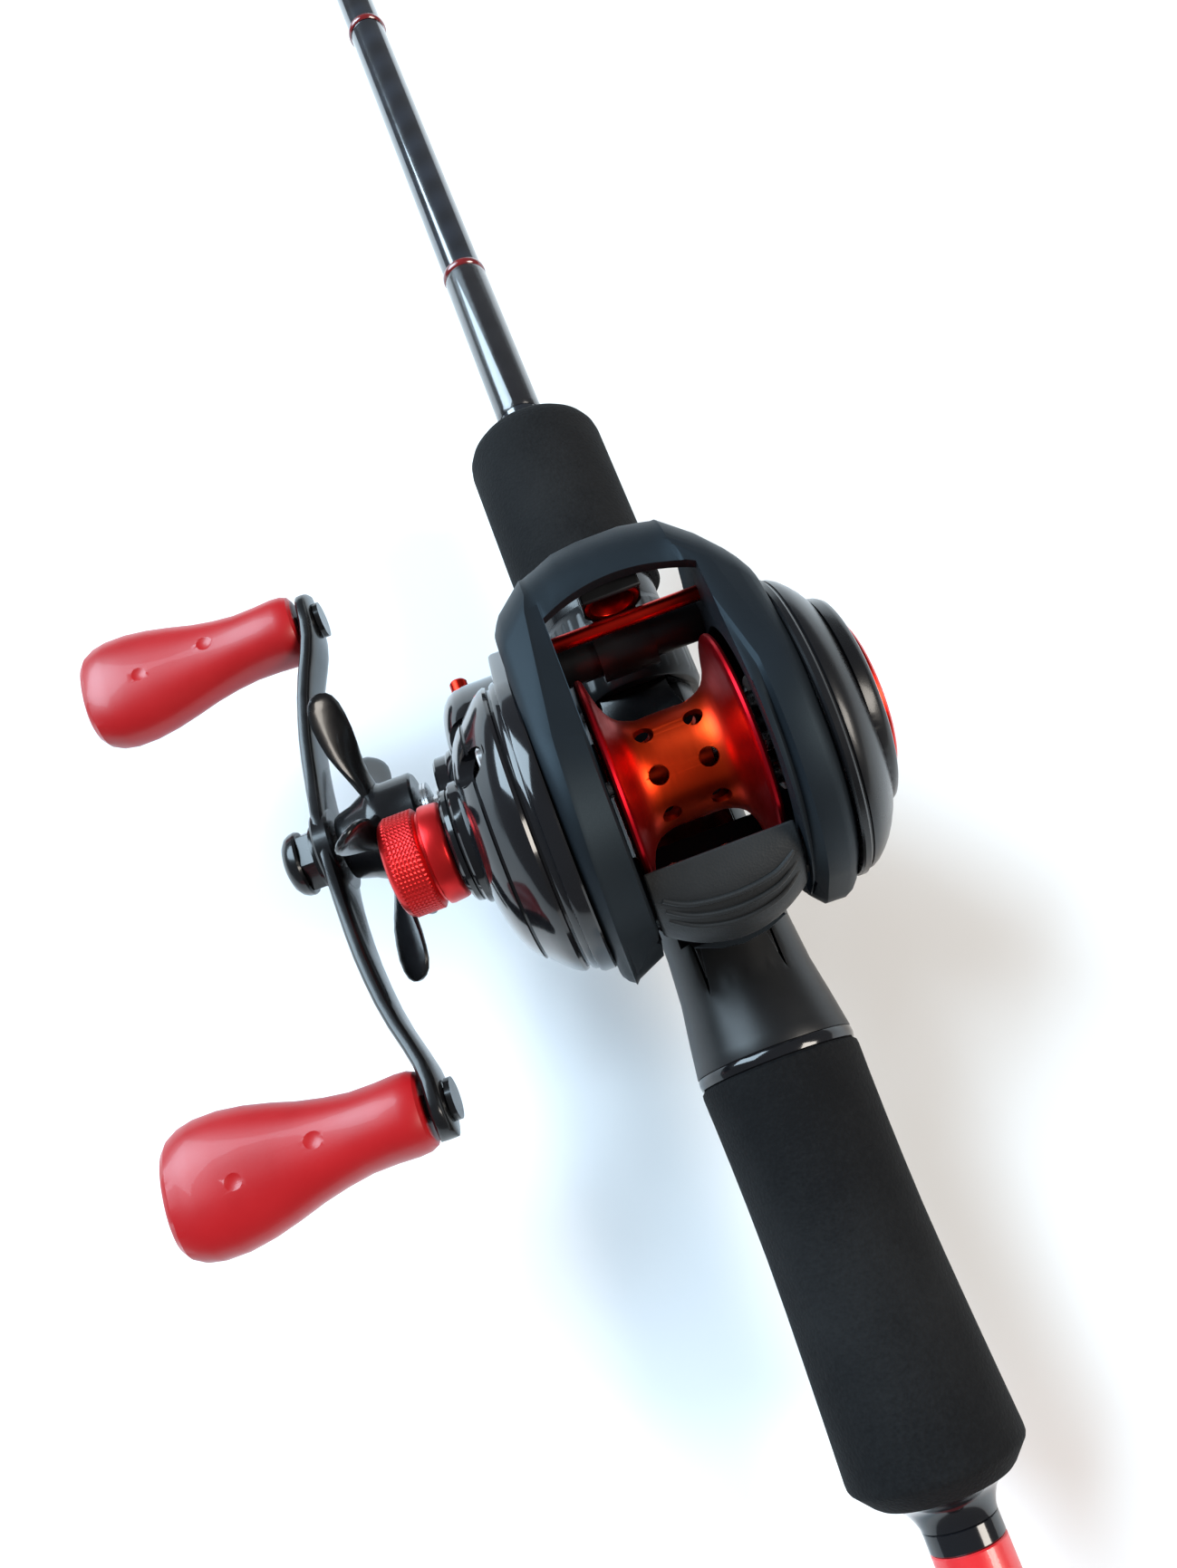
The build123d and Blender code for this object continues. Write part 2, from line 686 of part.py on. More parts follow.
def reel_foot():
    """Curved-in plate that the seat's hoods trap, screwed under the frame."""
    half = foot_length / 2
    wide, narrow = foot_width / 2, foot_tip_width / 2
    neck, shoulder = seat_front - 1.0, seat_front - 6.0
    corner = [(wide, shoulder), (narrow, neck), (narrow, half - 3), (narrow - 3, half)]
    front = corner + [(-x, y) for x, y in reversed(corner)]
    back = [(-x, -y) for x, y in front]
    outline = make_face(Polyline(*front, *back, close=True))
    plate = Pos(0, 0, deck_z) * extrude(outline, amount=foot_thickness)
    for side in (-1, 1):
        y = side * bridge_y
        plate += block(-wide, wide, y - 3.5, y + 3.5, foot_top - 0.5, frame_base)
    for y in (-foot_screw_y, foot_screw_y):
        for x in (-foot_screw_x, foot_screw_x):
            plate -= Pos(x, y, deck_z) * Cylinder(foot_screw_r + run_gap, 12)
    return plate


def foot_screws():
    """Four countersunk screws from below."""
    screws = []
    for y in (-foot_screw_y, foot_screw_y):
        for x in (-foot_screw_x, foot_screw_x):
            length = frame_base + bridge_height - deck_z
            screw = Cylinder(foot_screw_r - run_gap, length, align=(Align.CENTER, Align.CENTER, Align.MIN))
            screws.append(Pos(x, y, deck_z) * screw)
    return screws


# ---------------------------------------------------------------- spool
def spool():
    """Drilled arbor between two flanges, on a thin hub web."""
    x0, x1 = spool_x - spool_width / 2, spool_x + spool_width / 2
    inner = arbor_r - arbor_wall
    half_flank = (flange_thickness + flank) / 2
    left = [(x0 + flank, inner), (x0 + half_flank, mouth_r), (x0, mouth_r), (x0, flange_r - 0.6), (x0 + 0.6, flange_r),
            (x0 + flange_thickness, flange_r - 0.3), (x0 + half_flank, arbor_r + 2.2), (x0 + flank, arbor_r)]
    right = [(x0 + x1 - x, radius) for x, radius in reversed(left)]
    body = turned_x(left + right, 0, spool_z)
    web_x = spool_x - hub_web / 2
    body += rod_x(inner + 0.2, web_x, web_x + hub_web, 0, spool_z)
    body += rod_x(hub_r, web_x - 4, web_x + hub_web + 4, 0, spool_z)
    body -= rod_x(shaft_r + 0.01, x0 - 1, x1 + 1, 0, spool_z)
    step = 360 / spool_hole_rows
    for i in range(spool_hole_rows):
        turn = Pos(0, 0, spool_z) * Rot(step * (i + 0.5) - 90, 0, 0)
        for side in (-1, 1):
            hole = Pos(spool_x + side * spool_hole_pitch / 2, 0, arbor_r) * Cylinder(spool_hole_r, 4)
            body -= turn * hole
    return body


def spool_shaft():
    """Steel shaft with the cross pin that the pinion drives."""
    right = inner_r + 3.8
    left = nose_end + 0.8
    shaft = rod_x(shaft_r, left, right, 0, spool_z)
    return shaft + Pos(pinion_x - 0.9, 0, spool_z) * Cylinder(pin_r, 2 * pinion_hub_r - 0.8)


def bearing(x0, x1, outer, inner, y, z):
    """Shielded ball bearing as one ring with its race grooves."""
    ring = tube_x(outer, inner, x0, x1, y, z)
    groove = (outer + inner) / 2
    for x, sign in ((x0, 1), (x1, -1)):
        ring -= tube_x(groove + 0.35, groove - 0.35, x - sign * 0.5, x + sign * 0.25, y, z)
    return ring


def spool_bearings():
    palm = bearing(inner_r + 0.8, inner_r + 0.8 + bearing_width, bearing_r, shaft_r + run_gap, 0, spool_z)
    start = nose_end + 2.0
    cap = bearing(start, start + bearing_width, bearing_r, shaft_r + run_gap, 0, spool_z)
    return [palm, cap]


# ---------------------------------------------------------------- gears and shafts
to_pinion = math.degrees(math.atan2(spool_z - drive_z, -drive_y))
to_worm = math.degrees(math.atan2(worm_z - drive_z, worm_y - drive_y))


def idler_place():
    """Idler centre, off the line between drive shaft and worm so that both meshes close."""
    first = wind_module * (crank_teeth + idler_teeth) / 2
    second = wind_module * (idler_teeth + worm_teeth) / 2
    span = math.hypot(worm_y - drive_y, worm_z - drive_z)
    swing = math.acos((first ** 2 + span ** 2 - second ** 2) / (2 * first * span))
    angle = math.radians(to_worm) - swing
    return drive_y + first * math.cos(angle), drive_z + first * math.sin(angle), math.degrees(angle)


idler_y, idler_z, to_idler = idler_place()
idler_to_worm = math.degrees(math.atan2(worm_z - idler_z, worm_y - idler_y))
idler_phase = meshed_phase(0.0, crank_teeth, idler_teeth, to_idler)
worm_phase = meshed_phase(idler_phase, idler_teeth, worm_teeth, idler_to_worm)
pinion_phase = meshed_phase(0.0, drive_teeth, pinion_teeth, to_pinion)


def drive_gear():
    wheel = gear(drive_teeth, gear_module, drive_gear_x, drive_gear_width, drive_y, drive_z, 0.0)
    wheel -= rod_x(drive_shaft_r + run_gap, drive_gear_x + 1, drive_gear_x - drive_gear_width - 1, drive_y, drive_z)
    recess = drive_gear_x - drive_gear_width
    return wheel - rod_x(washer_r + slide_gap, recess + 1.0, recess - 1, drive_y, drive_z)


def drive_shaft():
    """Stepped shaft with the level-wind gear cut on it and a flange under the drive gear."""
    end = arm_x - arm_thickness - nut_height
    shaft = rod_x(drive_shaft_r, inner_l - 0.8, end, drive_y, drive_z)
    shaft += gear(crank_teeth, wind_module, crank_gear_x, wind_gear_width, drive_y, drive_z, 0.0)
    flange = rod_x(8.0, drive_gear_x + 1.2, drive_gear_x + 0.05, drive_y, drive_z)
    return shaft + flange


def pinion():
    """Brass pinion: slotted hub, neck for the yoke, collar and long teeth."""
    x = pinion_x
    body = rod_x(pinion_hub_r, x, x - pinion_hub_length, 0, spool_z)
    body += rod_x(pinion_neck_r, x - pinion_hub_length, x - pinion_hub_length - pinion_neck_length, 0, spool_z)
    collar = x - pinion_hub_length - pinion_neck_length
    body += rod_x(pinion_hub_r, collar, collar - pinion_collar_length, 0, spool_z)
    start = collar - pinion_collar_length
    width = pinion_length - (x - start)
    body += gear(pinion_teeth, gear_module, start, width, 0, spool_z, pinion_phase)
    body -= rod_x(shaft_r + run_gap, x + 1, x - pinion_length - 1, 0, spool_z)
    slot = pin_r + slide_gap
    return body - block(x - 0.9 - slot, x + 1, -slot, slot, spool_z - 5, spool_z + 5)


def washers():
    """Drag washers, one in the gear's recess and one outside the pressure plate."""
    recess = drive_gear_x - drive_gear_width + 1.0
    inside = tube_x(washer_r, drive_shaft_r + run_gap, recess - 1.0, recess - 0.02, drive_y, drive_z)
    plate = drive_gear_x - drive_gear_width - 1.2
    outside = tube_x(washer_r - 2, drive_shaft_r + run_gap, plate - 0.7, plate - 0.02, drive_y, drive_z)
    return [inside, outside]


def pressure_plate():
    plate = drive_gear_x - drive_gear_width
    return tube_x(washer_r - 0.4, drive_shaft_r + run_gap, plate - 1.2, plate - 0.02, drive_y, drive_z)


def spring_washers():
    """Two coned washers, set mirror-wise on the shaft."""
    x = cover_face - shaft_boss_length - 2.0
    bore = drive_shaft_r + run_gap
    pair = []
    for start, rise in ((x, -0.5), (x - 1.5, 0.5)):
        ring = [(start, bore), (start + rise, sleeve_outer_r + 1.4), (start + rise - 0.4, sleeve_outer_r + 1.4),
                (start - 0.4, bore)]
        pair.append(turned_x(ring, drive_y, drive_z))
    return pair


def drive_sleeve():
    """Hardened sleeve that the one-way bearing's rollers run on."""
    start = drive_gear_x - drive_gear_width - 2.0
    end = cover_face - shaft_boss_length - 1.0
    return tube_x(sleeve_outer_r, drive_shaft_r + run_gap / 2, start, end, drive_y, drive_z)


def one_way_bearing():
    """Roller clutch pressed into the cover's shaft boss."""
    start = cover_face + cover_wall + 0.2
    end = cover_face - shaft_boss_length + 0.6
    return bearing(end, start, clutch_bearing_r, sleeve_outer_r + run_gap, drive_y, drive_z)


def shaft_bearing():
    return bearing(crank_gear_x + 0.4, inner_l - 0.5, drive_shaft_r + 1.2 - 0.02, drive_shaft_r + run_gap, drive_y, drive_z)


# ---------------------------------------------------------------- clutch
def yoke_outline():
    first, second = post_spots
    bar = hull(disc(2.9, first[0], first[1]), disc(2.9, second[0], second[1]))
    arm = hull(disc(2.0, first[0], first[1]), disc(2.0, -15.5, 3.0))
    ring = hull(disc(2.9, 0, 4.0), disc(4.9, 0, 0))
    shape = bar + arm + ring
    shape -= disc(pinion_neck_r + run_gap, 0, 0)
    shape -= Pos(0, -5) * Rectangle(2 * (pinion_neck_r + run_gap), 10)
    for y, dz in post_spots:
        shape -= disc(post_r + run_gap, y, dz)
    return Pos(0, spool_z) * shape


def clutch_yoke():
    return slab(yoke_outline(), yoke_x, yoke_x - yoke_thickness)


def yoke_springs():
    """Coil springs that return the yoke, on the posts."""
    springs = []
    start = yoke_x - yoke_thickness - clutch_travel - 0.2
    end = cover_face + cover_wall + 0.3
    wire = 0.35
    for y, dz in post_spots:
        coil = Helix(pitch=1.15, height=start - end - 2 * wire, radius=spring_r - wire)
        path = Location((end + wire, y, spool_z + dz), (0, 90, 0)) * coil
        section = Plane(origin=path @ 0, z_dir=path % 0) * Circle(wire)
        springs.append(sweep(section, path, is_frenet=True))
    return springs


def thumb_bar():
    """Wide bar under the thumb, with three grip ridges and an arm into each side plate."""
    x0, x1 = inner_l + free_gap, inner_r - free_gap
    outside = [(0.6, 9.2), (-3.4, 7.6), (-6.4, 4.2), (-8.0, -0.5), (-8.0, -4.0)]
    inside = [(-4.0, -4.0), (-3.8, 0.6), (-2.4, 3.4), (-1.2, 4.8), (0.4, 7.0)]
    bar = slab(Pos(-flange_r, spool_z) * make_face(Polyline(*outside, *inside, close=True)), x0, x1)
    for y, z in ((-3.6, 7.3), (-5.2, 5.5), (-6.5, 3.7)):
        bar += rod_x(0.55, x0 + 3, x1 - 3, y - flange_r, spool_z + z)
    y0, y1, z0, z1 = thumb_arm
    for inner, out in ((inner_l, inner_l - web), (inner_r, inner_r + web)):
        sign = 1 if out > inner else -1
        bar += block(inner - sign * 3, out + sign * 0.1, y0 - flange_r, y1 - flange_r, spool_z + z0, spool_z + z1)
    return bar


def clutch_cam():
    """Wedge on the thumb bar's left arm; it pushes the yoke out."""
    face = inner_l - web - 0.15
    low = yoke_x + run_gap
    high = low - clutch_travel
    ramp_end = pad_w + thumb_travel
    points = [(face, cam_w[0]), (low, cam_w[0]), (low, pad_w), (high, ramp_end), (high, cam_w[1]), (face, cam_w[1])]
    wedge = extrude(Plane.XZ.offset(-cam_v[1]) * make_face(Polyline(*points, close=True)), amount=cam_v[1] - cam_v[0])
    return Pos(0, 0, spool_z) * (Rot(-thumb_tilt, 0, 0) * wedge)


# ---------------------------------------------------------------- level wind
def worm_shaft():
    """Level-wind worm with crossing grooves."""
    shaft = rod_x(worm_r, inner_l + 0.3, inner_r - 0.3, worm_y, worm_z)
    shaft += rod_x(worm_journal_r, inner_l + 0.5 - web - 4.0, inner_r + web - 0.3, worm_y, worm_z)
    count = 7
    pitch = (inner_r - inner_l - 4) / count
    for i in range(count):
        x = inner_l + 2 + (i + 0.5) * pitch
        for lean in (-20, 20):
            cutter = Cylinder(worm_r + 2, 0.8) - Cylinder(worm_r - 0.5, 2)
            shaft -= Location((x, worm_y, worm_z), (0, 90 + lean, 0)) * cutter
    return shaft


def worm_gear():
    x = crank_gear_x
    wheel = gear(worm_teeth, wind_module, x, wind_gear_width, worm_y, worm_z, worm_phase)
    return wheel - rod_x(worm_journal_r, x + 1, x - wind_gear_width - 1, worm_y, worm_z)


def idler_gear():
    x = crank_gear_x
    wheel = gear(idler_teeth, wind_module, x, wind_gear_width, idler_y, idler_z, idler_phase)
    return wheel - rod_x(idler_pin_r + run_gap, x + 1, x - wind_gear_width - 1, idler_y, idler_z)


def idler_pin():
    """Shouldered pin that the idler turns on, pressed into the web."""
    x = crank_gear_x
    pin = rod_x(idler_pin_r, inner_l - 0.2, x - wind_gear_width - 0.8, idler_y, idler_z)
    return pin + rod_x(2.0, x - wind_gear_width - 0.3, x - wind_gear_width - 0.8, idler_y, idler_z)


def worm_guard():
    """Slotted tube round the worm."""
    tube = tube_x(guard_r, guard_r - guard_wall, inner_l, inner_r, worm_y, worm_z)
    half = guard_slot / 2
    return tube - block(inner_l + 1.5, inner_r - 1.5, worm_y - half, worm_y + half, worm_z - 6, worm_z)


def guide_rail():
    return rod_x(rail_r, inner_l - web + 0.2, inner_r + web - 0.2, rail_y, rail_z)


def line_guide():
    """Carriage on the worm guard and the front bar, with the socket of the line eye on top."""
    x0, x1 = carriage_x - carriage_width / 2, carriage_x + carriage_width / 2
    body = slab(disc(guard_r + carriage_wall, worm_y, worm_z), x0, x1)
    foot_y, foot_z = eye_y, eye_z - eye_r - eye_socket
    body += slab(hull(disc(2.0, worm_y + 2.6, worm_z + 2.8), disc(1.4, foot_y, foot_z)), x0 + 1, x1 - 1)
    body += slab(hull(disc(1.8, worm_y + 2.8, worm_z - 3.0), disc(bar_r + carriage_wall, front_bar_y, front_bar_z)),
                 x0 + 1, x1 - 1)
    body += slab(disc(1.9, worm_y, worm_z - guard_r - 1.2), x0 + 2.5, x1 - 2.5)
    socket = rod_y(eye_r + eye_socket, eye_y - eye_length / 2, eye_y + eye_length / 2, carriage_x, eye_z)
    body += socket & block(x0, x1, 0, 60, 0, eye_z + 10)
    body -= rod_y(eye_r + 0.02, eye_y - 3, eye_y + 3, carriage_x, eye_z)
    body -= rod_x(guard_r + slide_gap, x0 - 1, x1 + 1, worm_y, worm_z)
    body -= rod_x(bar_r + slide_gap, x0 - 1, x1 + 1, front_bar_y, front_bar_z)
    return body - Pos(carriage_x, worm_y, worm_z - guard_r - 2) * Cylinder(1.1, 8)


def line_eye():
    """Hard ring in the line guide."""
    ring = rod_y(eye_r, eye_y - eye_length / 2 - 0.2, eye_y + eye_length / 2 + 0.2, carriage_x, eye_z)
    return ring - rod_y(eye_r - eye_ring_wall, eye_y - 5, eye_y + 5, carriage_x, eye_z)


def pawl():
    """Peg that follows the worm's groove through the guard's slot."""
    top = worm_z - worm_r - 0.3
    length = top - (worm_z - guard_r - 3.0)
    return Pos(carriage_x, worm_y, top) * Cylinder(1.0, length, align=(Align.CENTER, Align.CENTER, Align.MAX))


# ---------------------------------------------------------------- handle side
def cover_outline(inset=0.0):
    """Outline of the handle-side cover: the plate's round part, the gear housing and the level-wind gears."""
    return hull(disc(body_r - 0.8 - inset, body_y, body_z), disc(gear_bulge_r - inset, drive_y, drive_z),
                disc(worm_cover_r - inset, worm_y, worm_z))


def cover_shape(wall=0.0):
    """Base plate, domed round part and drum over the gears; with a wall it is the space inside."""
    far = cover_face + wall
    body = slab(cover_outline(wall), outer_l, outer_l - cover_base + wall)
    round_r = body_r - 0.8 - wall
    for x, drop in ((outer_l - cover_step + wall, 0.0), (far + cover_crown, cover_step_in), (far, cover_crown_in)):
        body += rod_x(round_r - drop, outer_l, x, body_y, body_z)
    return body + rod_x(gear_bulge_r - wall, outer_l, far, drive_y, drive_z)


def handle_side_cover():
    """Gear housing with the nose for the cast-control cap and the drive-shaft boss."""
    shell = cover_shape() - cover_shape(cover_wall)
    shell += rod_x(cap_nose_r, cover_face + 0.5, nose_end, 0, spool_z)
    shell += rod_x(cap_nose_r + 2.6, cover_face + 0.5, cover_face - cap_nose_flange, 0, spool_z)
    shell += rod_x(shaft_boss_r, cover_face + 2.4, cover_face - shaft_boss_length, drive_y, drive_z)
    shell -= rod_x(bearing_r + 0.02, nose_end + 4.6, nose_end - 1, 0, spool_z)
    shell -= rod_x(2.9, cover_face + 4, nose_end, 0, spool_z)
    shell -= rod_x(clutch_bearing_r + 0.02, cover_face + 6, cover_face - shaft_boss_length + 0.5, drive_y, drive_z)
    shell -= rod_x(sleeve_outer_r + free_gap, cover_face, cover_face - shaft_boss_length - 1, drive_y, drive_z)
    for y, dz in post_spots:
        shell -= rod_x(post_r + run_gap, cover_face + 6, cover_face + cover_wall / 2, y, spool_z + dz)
    for y, dz in cover_screw_spots:
        shell -= rod_x(screw_r + run_gap, outer_l + 1, cover_face - 1, y, spool_z + dz)
        shell -= rod_x(screw_r + 1.2, cover_face + 0.8, cover_face - 1, y, spool_z + dz)
    return shell


def cover_screws():
    screws = []
    for y, dz in cover_screw_spots:
        z = spool_z + dz
        shank = rod_x(screw_r, outer_l + 4.0, cover_face + 0.6, y, z)
        head = rod_x(screw_r + 1.0, cover_face + 0.8, cover_face - 0.3, y, z)
        slot = block(cover_face, cover_face - 1, y - 0.3, y + 0.3, z - 2, z + 2)
        screws.append(shank + head - slot)
    return screws


def cast_control_cap():
    """Fluted cap on the cover's nose; it sets the spool's end float."""
    start, end = cap_start, cap_end
    body = rod_x(cap_collar_r, start, start - 2.6, 0, spool_z)
    body += rod_x(cap_r, start - 2.6, end, 0, spool_z)
    body = chamfer(body.edges().group_by(Axis.X)[0], 0.8)
    for i in range(cap_flutes):
        angle = 2 * math.pi * i / cap_flutes
        y, z = cap_r * math.cos(angle), cap_r * math.sin(angle)
        body -= rod_x(0.35, start - 3.4, end + 0.9, y, spool_z + z)
    body -= rod_x(cap_nose_r + run_gap, start + 1, nose_end - 0.9, 0, spool_z)
    return body


def cap_shim():
    """Friction disc between the spool shaft's end and the cap."""
    return rod_x(2.6, nose_end + 0.75, nose_end + 0.1, 0, spool_z)


def star_drag():
    """Star wheel: hub on the shaft's thread and five arms bent outwards."""
    start = cover_face - shaft_boss_length - 4.2
    end = start - star_hub_length
    body = rod_x(star_hub_r, start, end, drive_y, drive_z)
    body += turned_x([(end, 0), (end, star_hub_r), (end - 7.5, 5.4), (end - 8.5, 5.4), (end - 8.5, 0)], drive_y, drive_z)
    near = cap_end - free_gap
    inside = [(near, 4.0), (near, star_hub_r + 6.0), (near - 0.8, star_r - 5.0), (near - 2.2, star_r)]
    outside = [(x - star_thickness, radius) for x, radius in reversed(inside)]
    arm = extrude(make_face(Polyline(*inside, *outside, close=True)), amount=star_arm_width, both=True)
    waist, tip = star_arm_width - 1.2, star_arm_width - 0.5
    wide = hull(disc(star_arm_width, 4.0), disc(waist, star_r - 6.0)) + disc(tip, star_r - tip)
    arm = arm & slab(wide, near + 10, near - 20)
    for i in range(star_arms):
        body += Pos(0, drive_y, drive_z) * (Rot(360 / star_arms * (i + 0.5), 0, 0) * arm)
    bore = drive_shaft_r + slide_gap
    return body - rod_x(bore, start + 1, end - 10, drive_y, drive_z)


def crank_place(part):
    """Turn a piece drawn along +Y from the drive shaft to the handle's angle at rest."""
    return Pos(0, drive_y, drive_z) * (Rot(handle_angle, 0, 0) * part)


def handle_arm():
    """Swept crank arm with a hub in the middle and a knob seat at each end."""
    half = handle_length / 2
    inner = [(arm_x, 0.0), (arm_x, 6.5), (arm_x + 0.55 * handle_sweep, 0.5 * half + 4),
             (arm_x + handle_sweep, half - 6.5), (arm_x + handle_sweep, half + arm_end_r + 1)]
    outer = [(x - arm_thickness, y) for x, y in reversed(inner)]
    side = make_face(Polyline(*inner, *outer, close=True))
    strip = extrude(side, amount=10, both=True)
    strip += mirror(strip, Plane.XZ)
    plan = hull(disc(arm_width / 2, -half + 9, 0), disc(arm_width / 2, half - 9, 0))
    plan += disc(arm_hub_r, 0, 0) + disc(arm_end_r, half, 0) + disc(arm_end_r, -half, 0)
    arm = strip & slab(plan, arm_x + 20, arm_x - 20)
    arm -= rod_x(drive_shaft_r + 0.02, arm_x + 30, arm_x - 30)
    for side_y in (-half, half):
        arm -= rod_x(spindle_r + 0.02, arm_x + 30, arm_x - 30, side_y)
    return crank_place(arm)


def handle_nut():
    x = arm_x - arm_thickness - 0.02
    hexagon = RegularPolygon(nut_across / math.sqrt(3), 6)
    nut = slab(hexagon, x, x - nut_height)
    nut = nut + rod_x(nut_across / 2 + 0.8, x, x - 1.0)
    return crank_place(nut - rod_x(drive_shaft_r + 0.05, x + 1, x - 10))


def nut_retainer():
    """Small plate over the nut, held by its own screw."""
    x = arm_x - arm_thickness - nut_height - 0.05
    plate = rod_x(nut_across / 2, x, x - 0.9)
    plate += rod_x(1.5, x - 0.8, x - 1.9)
    return crank_place(plate - block(x - 3, x - 1.4, -0.3, 0.3, -3, 3))


def knob_spindles():
    """Steel spindles riveted in the arm's ends."""
    spindles = []
    half = handle_length / 2
    start = arm_x + handle_sweep
    for side in (-half, half):
        pin = rod_x(spindle_r, start + 0.6, start - arm_thickness - knob_length + 3.5, side)
        pin += rod_x(3.2, start + 0.02, start + 0.9, side)
        spindles.append(crank_place(pin))
    return spindles


def knob(side):
    """Paddle knob: round foot, waist, wide flat end; turns on its spindle."""
    start = arm_x + handle_sweep - arm_thickness - 0.5
    spots = [(0.0, knob_base_r, knob_base_r), (0.22, knob_waist_r + 0.3, knob_waist_r),
             (0.45, knob_waist_r + 1.7, knob_waist_r - 0.3), (0.74, knob_width / 2 - 0.3, knob_thickness / 2 - 0.2),
             (0.92, knob_width / 2 - 0.5, knob_thickness / 2), (1.0, knob_width / 2 - 3.2, knob_thickness / 2 - 2.4)]
    sections = []
    for share, half_y, half_z in spots:
        sections.append(Plane.YZ.offset(start - share * knob_length) * Ellipse(half_y, half_z))
    body = loft(sections)
    body -= rod_x(spindle_r + run_gap, start + 1, start - knob_length + 3.4)
    return Pos(0, drive_y, drive_z) * (Rot(handle_angle, 0, 0) * Pos(0, side * handle_length / 2, 0)
                                       * Rot(-handle_angle, 0, 0) * body)


# ---------------------------------------------------------------- palm side
def palm_outline(inset=0.0):
    keep = Pos(body_y + 10, frame_base + 1 + inset + 40) * Rectangle(120, 80)
    return disc(palm_r - inset, body_y, body_z) & keep


def palm_side_cover():
    """Cover with the boss for the spool bearing and the seat of the brake dial."""
    x0, x1 = outer_r, outer_r + palm_depth
    skin = slab(palm_outline(), x0, x0 + palm_step)
    skin += slab(palm_outline(palm_step_in), x0, x1 - palm_crown)
    skin += slab(palm_outline(palm_crown_in), x0, x1 - 2.2)
    skin += rod_x(dial_r + 2.6, x1 - 2.5, x1, 0, spool_z)
    hollow = slab(palm_outline(cover_wall), x0 - 1, x0 + palm_step - cover_wall)
    hollow += slab(palm_outline(palm_step_in + cover_wall), x0 - 1, x1 - palm_crown - cover_wall)
    hollow += slab(palm_outline(palm_crown_in + cover_wall), x0 - 1, x1 - 2.2 - cover_wall)
    skin -= hollow
    skin += rod_x(bearing_r + 1.0, inner_r + 0.5, x1 - 1, 0, spool_z)
    skin -= rod_x(bearing_r + 0.02, inner_r, inner_r + 0.8 + bearing_width + 0.05, 0, spool_z)
    skin -= rod_x(shaft_r + free_gap, inner_r, inner_r + 5, 0, spool_z)
    skin -= rod_x(2.2, inner_r + 6, x1 + 1, 0, spool_z)
    skin -= rod_x(dial_r + slide_gap, x1 - 1.2, x1 + 1, 0, spool_z)
    return skin


def brake_dial():
    """Ribbed dial with a stem down the cover's boss."""
    x1 = outer_r + palm_depth
    body = rod_x(dial_r, x1 - 1.1, x1 - 1.1 + dial_height, 0, spool_z)
    for i in range(dial_turn_notches):
        angle = 2 * math.pi * i / dial_turn_notches
        y, z = (dial_r + 0.1) * math.cos(angle), (dial_r + 0.1) * math.sin(angle)
        body -= rod_x(0.5, x1 - 2, x1 + 3, y, spool_z + z)
    body += block(x1, x1 + dial_height - 0.2, -8.5, 8.5, spool_z - 1.5, spool_z + 1.5)
    return body + rod_x(2.0, inner_r + 8, x1, 0, spool_z)


def magnet_carrier():
    """Plate that the dial slides towards the spool."""
    x = inner_r + 2.2
    return tube_x(carrier_r, bearing_r + 1.0 + run_gap, x, x + 1.8, 0, spool_z)


def magnets():
    discs = []
    ring = (carrier_r + bearing_r + 1.0) / 2
    x = inner_r + 2.2
    for i in range(magnet_count):
        angle = 2 * math.pi * i / magnet_count
        y, z = ring * math.cos(angle), ring * math.sin(angle)
        discs.append(rod_x(magnet_r, x - magnet_length, x - 0.01, y, spool_z + z))
    return discs


# ---------------------------------------------------------------- write the pieces
save("blank", blank())
save("butt_cap", butt_cap())
save("butt_grip", butt_grip())
save("rear_grip", rear_grip())
save("winding_checks", butt_grip_check(), rear_grip_check(), seat_check())
save("black_sleeves", *black_sleeves())
save("red_sleeve", red_sleeve())
save("reel_seat", reel_seat())
save("sliding_hood", sliding_hood())
save("lock_nut", lock_nut())
save("foregrip", foregrip())

guides = [(rod_length - distance, radius) for distance, radius in guide_spots]
wraps = [blank_wraps()]
for guide_y, guide_r in guides:
    wraps += guide_wraps(guide_y, guide_r)
save("thread_wraps", *wraps)
save("trim_rings", *trim_rings())
save("guide_frames", *[guide_frame(y, r) for y, r in guides], tip_top())
save("guide_rings", *[guide_ring(y, r) for y, r in guides], tip_ring())

save("frame", at_reel(frame()))
save("reel_foot", at_reel(reel_foot()))
save("foot_screws", *[at_reel(screw) for screw in foot_screws()])
save("spool", at_reel(spool()))
save("spool_shaft", at_reel(spool_shaft()))
save("spool_bearings", *[at_reel(ring) for ring in spool_bearings()])
save("drive_gear", at_reel(drive_gear()))
save("drive_shaft", at_reel(drive_shaft()))
save("pinion", at_reel(pinion()))
save("drag_washers", *[at_reel(ring) for ring in washers()])
save("pressure_plate", at_reel(pressure_plate()))
save("spring_washers", *[at_reel(ring) for ring in spring_washers()])
save("drive_sleeve", at_reel(drive_sleeve()))
save("one_way_bearing", at_reel(one_way_bearing()))
save("shaft_bearing", at_reel(shaft_bearing()))
save("clutch_yoke", at_reel(clutch_yoke()))
save("yoke_springs", *[at_reel(spring) for spring in yoke_springs()])
save("thumb_bar", at_reel(thumb_bar()))
save("clutch_cam", at_reel(clutch_cam()))
save("worm_shaft", at_reel(worm_shaft()))
save("worm_gear", at_reel(worm_gear()))
save("idler_gear", at_reel(idler_gear()))
save("idler_pin", at_reel(idler_pin()))
save("worm_guard", at_reel(worm_guard()))
save("guide_rail", at_reel(guide_rail()))
save("line_guide", at_reel(line_guide()))
save("line_eye", at_reel(line_eye()))
save("pawl", at_reel(pawl()))
save("handle_side_cover", at_reel(handle_side_cover()))
save("cover_screws", *[at_reel(screw) for screw in cover_screws()])
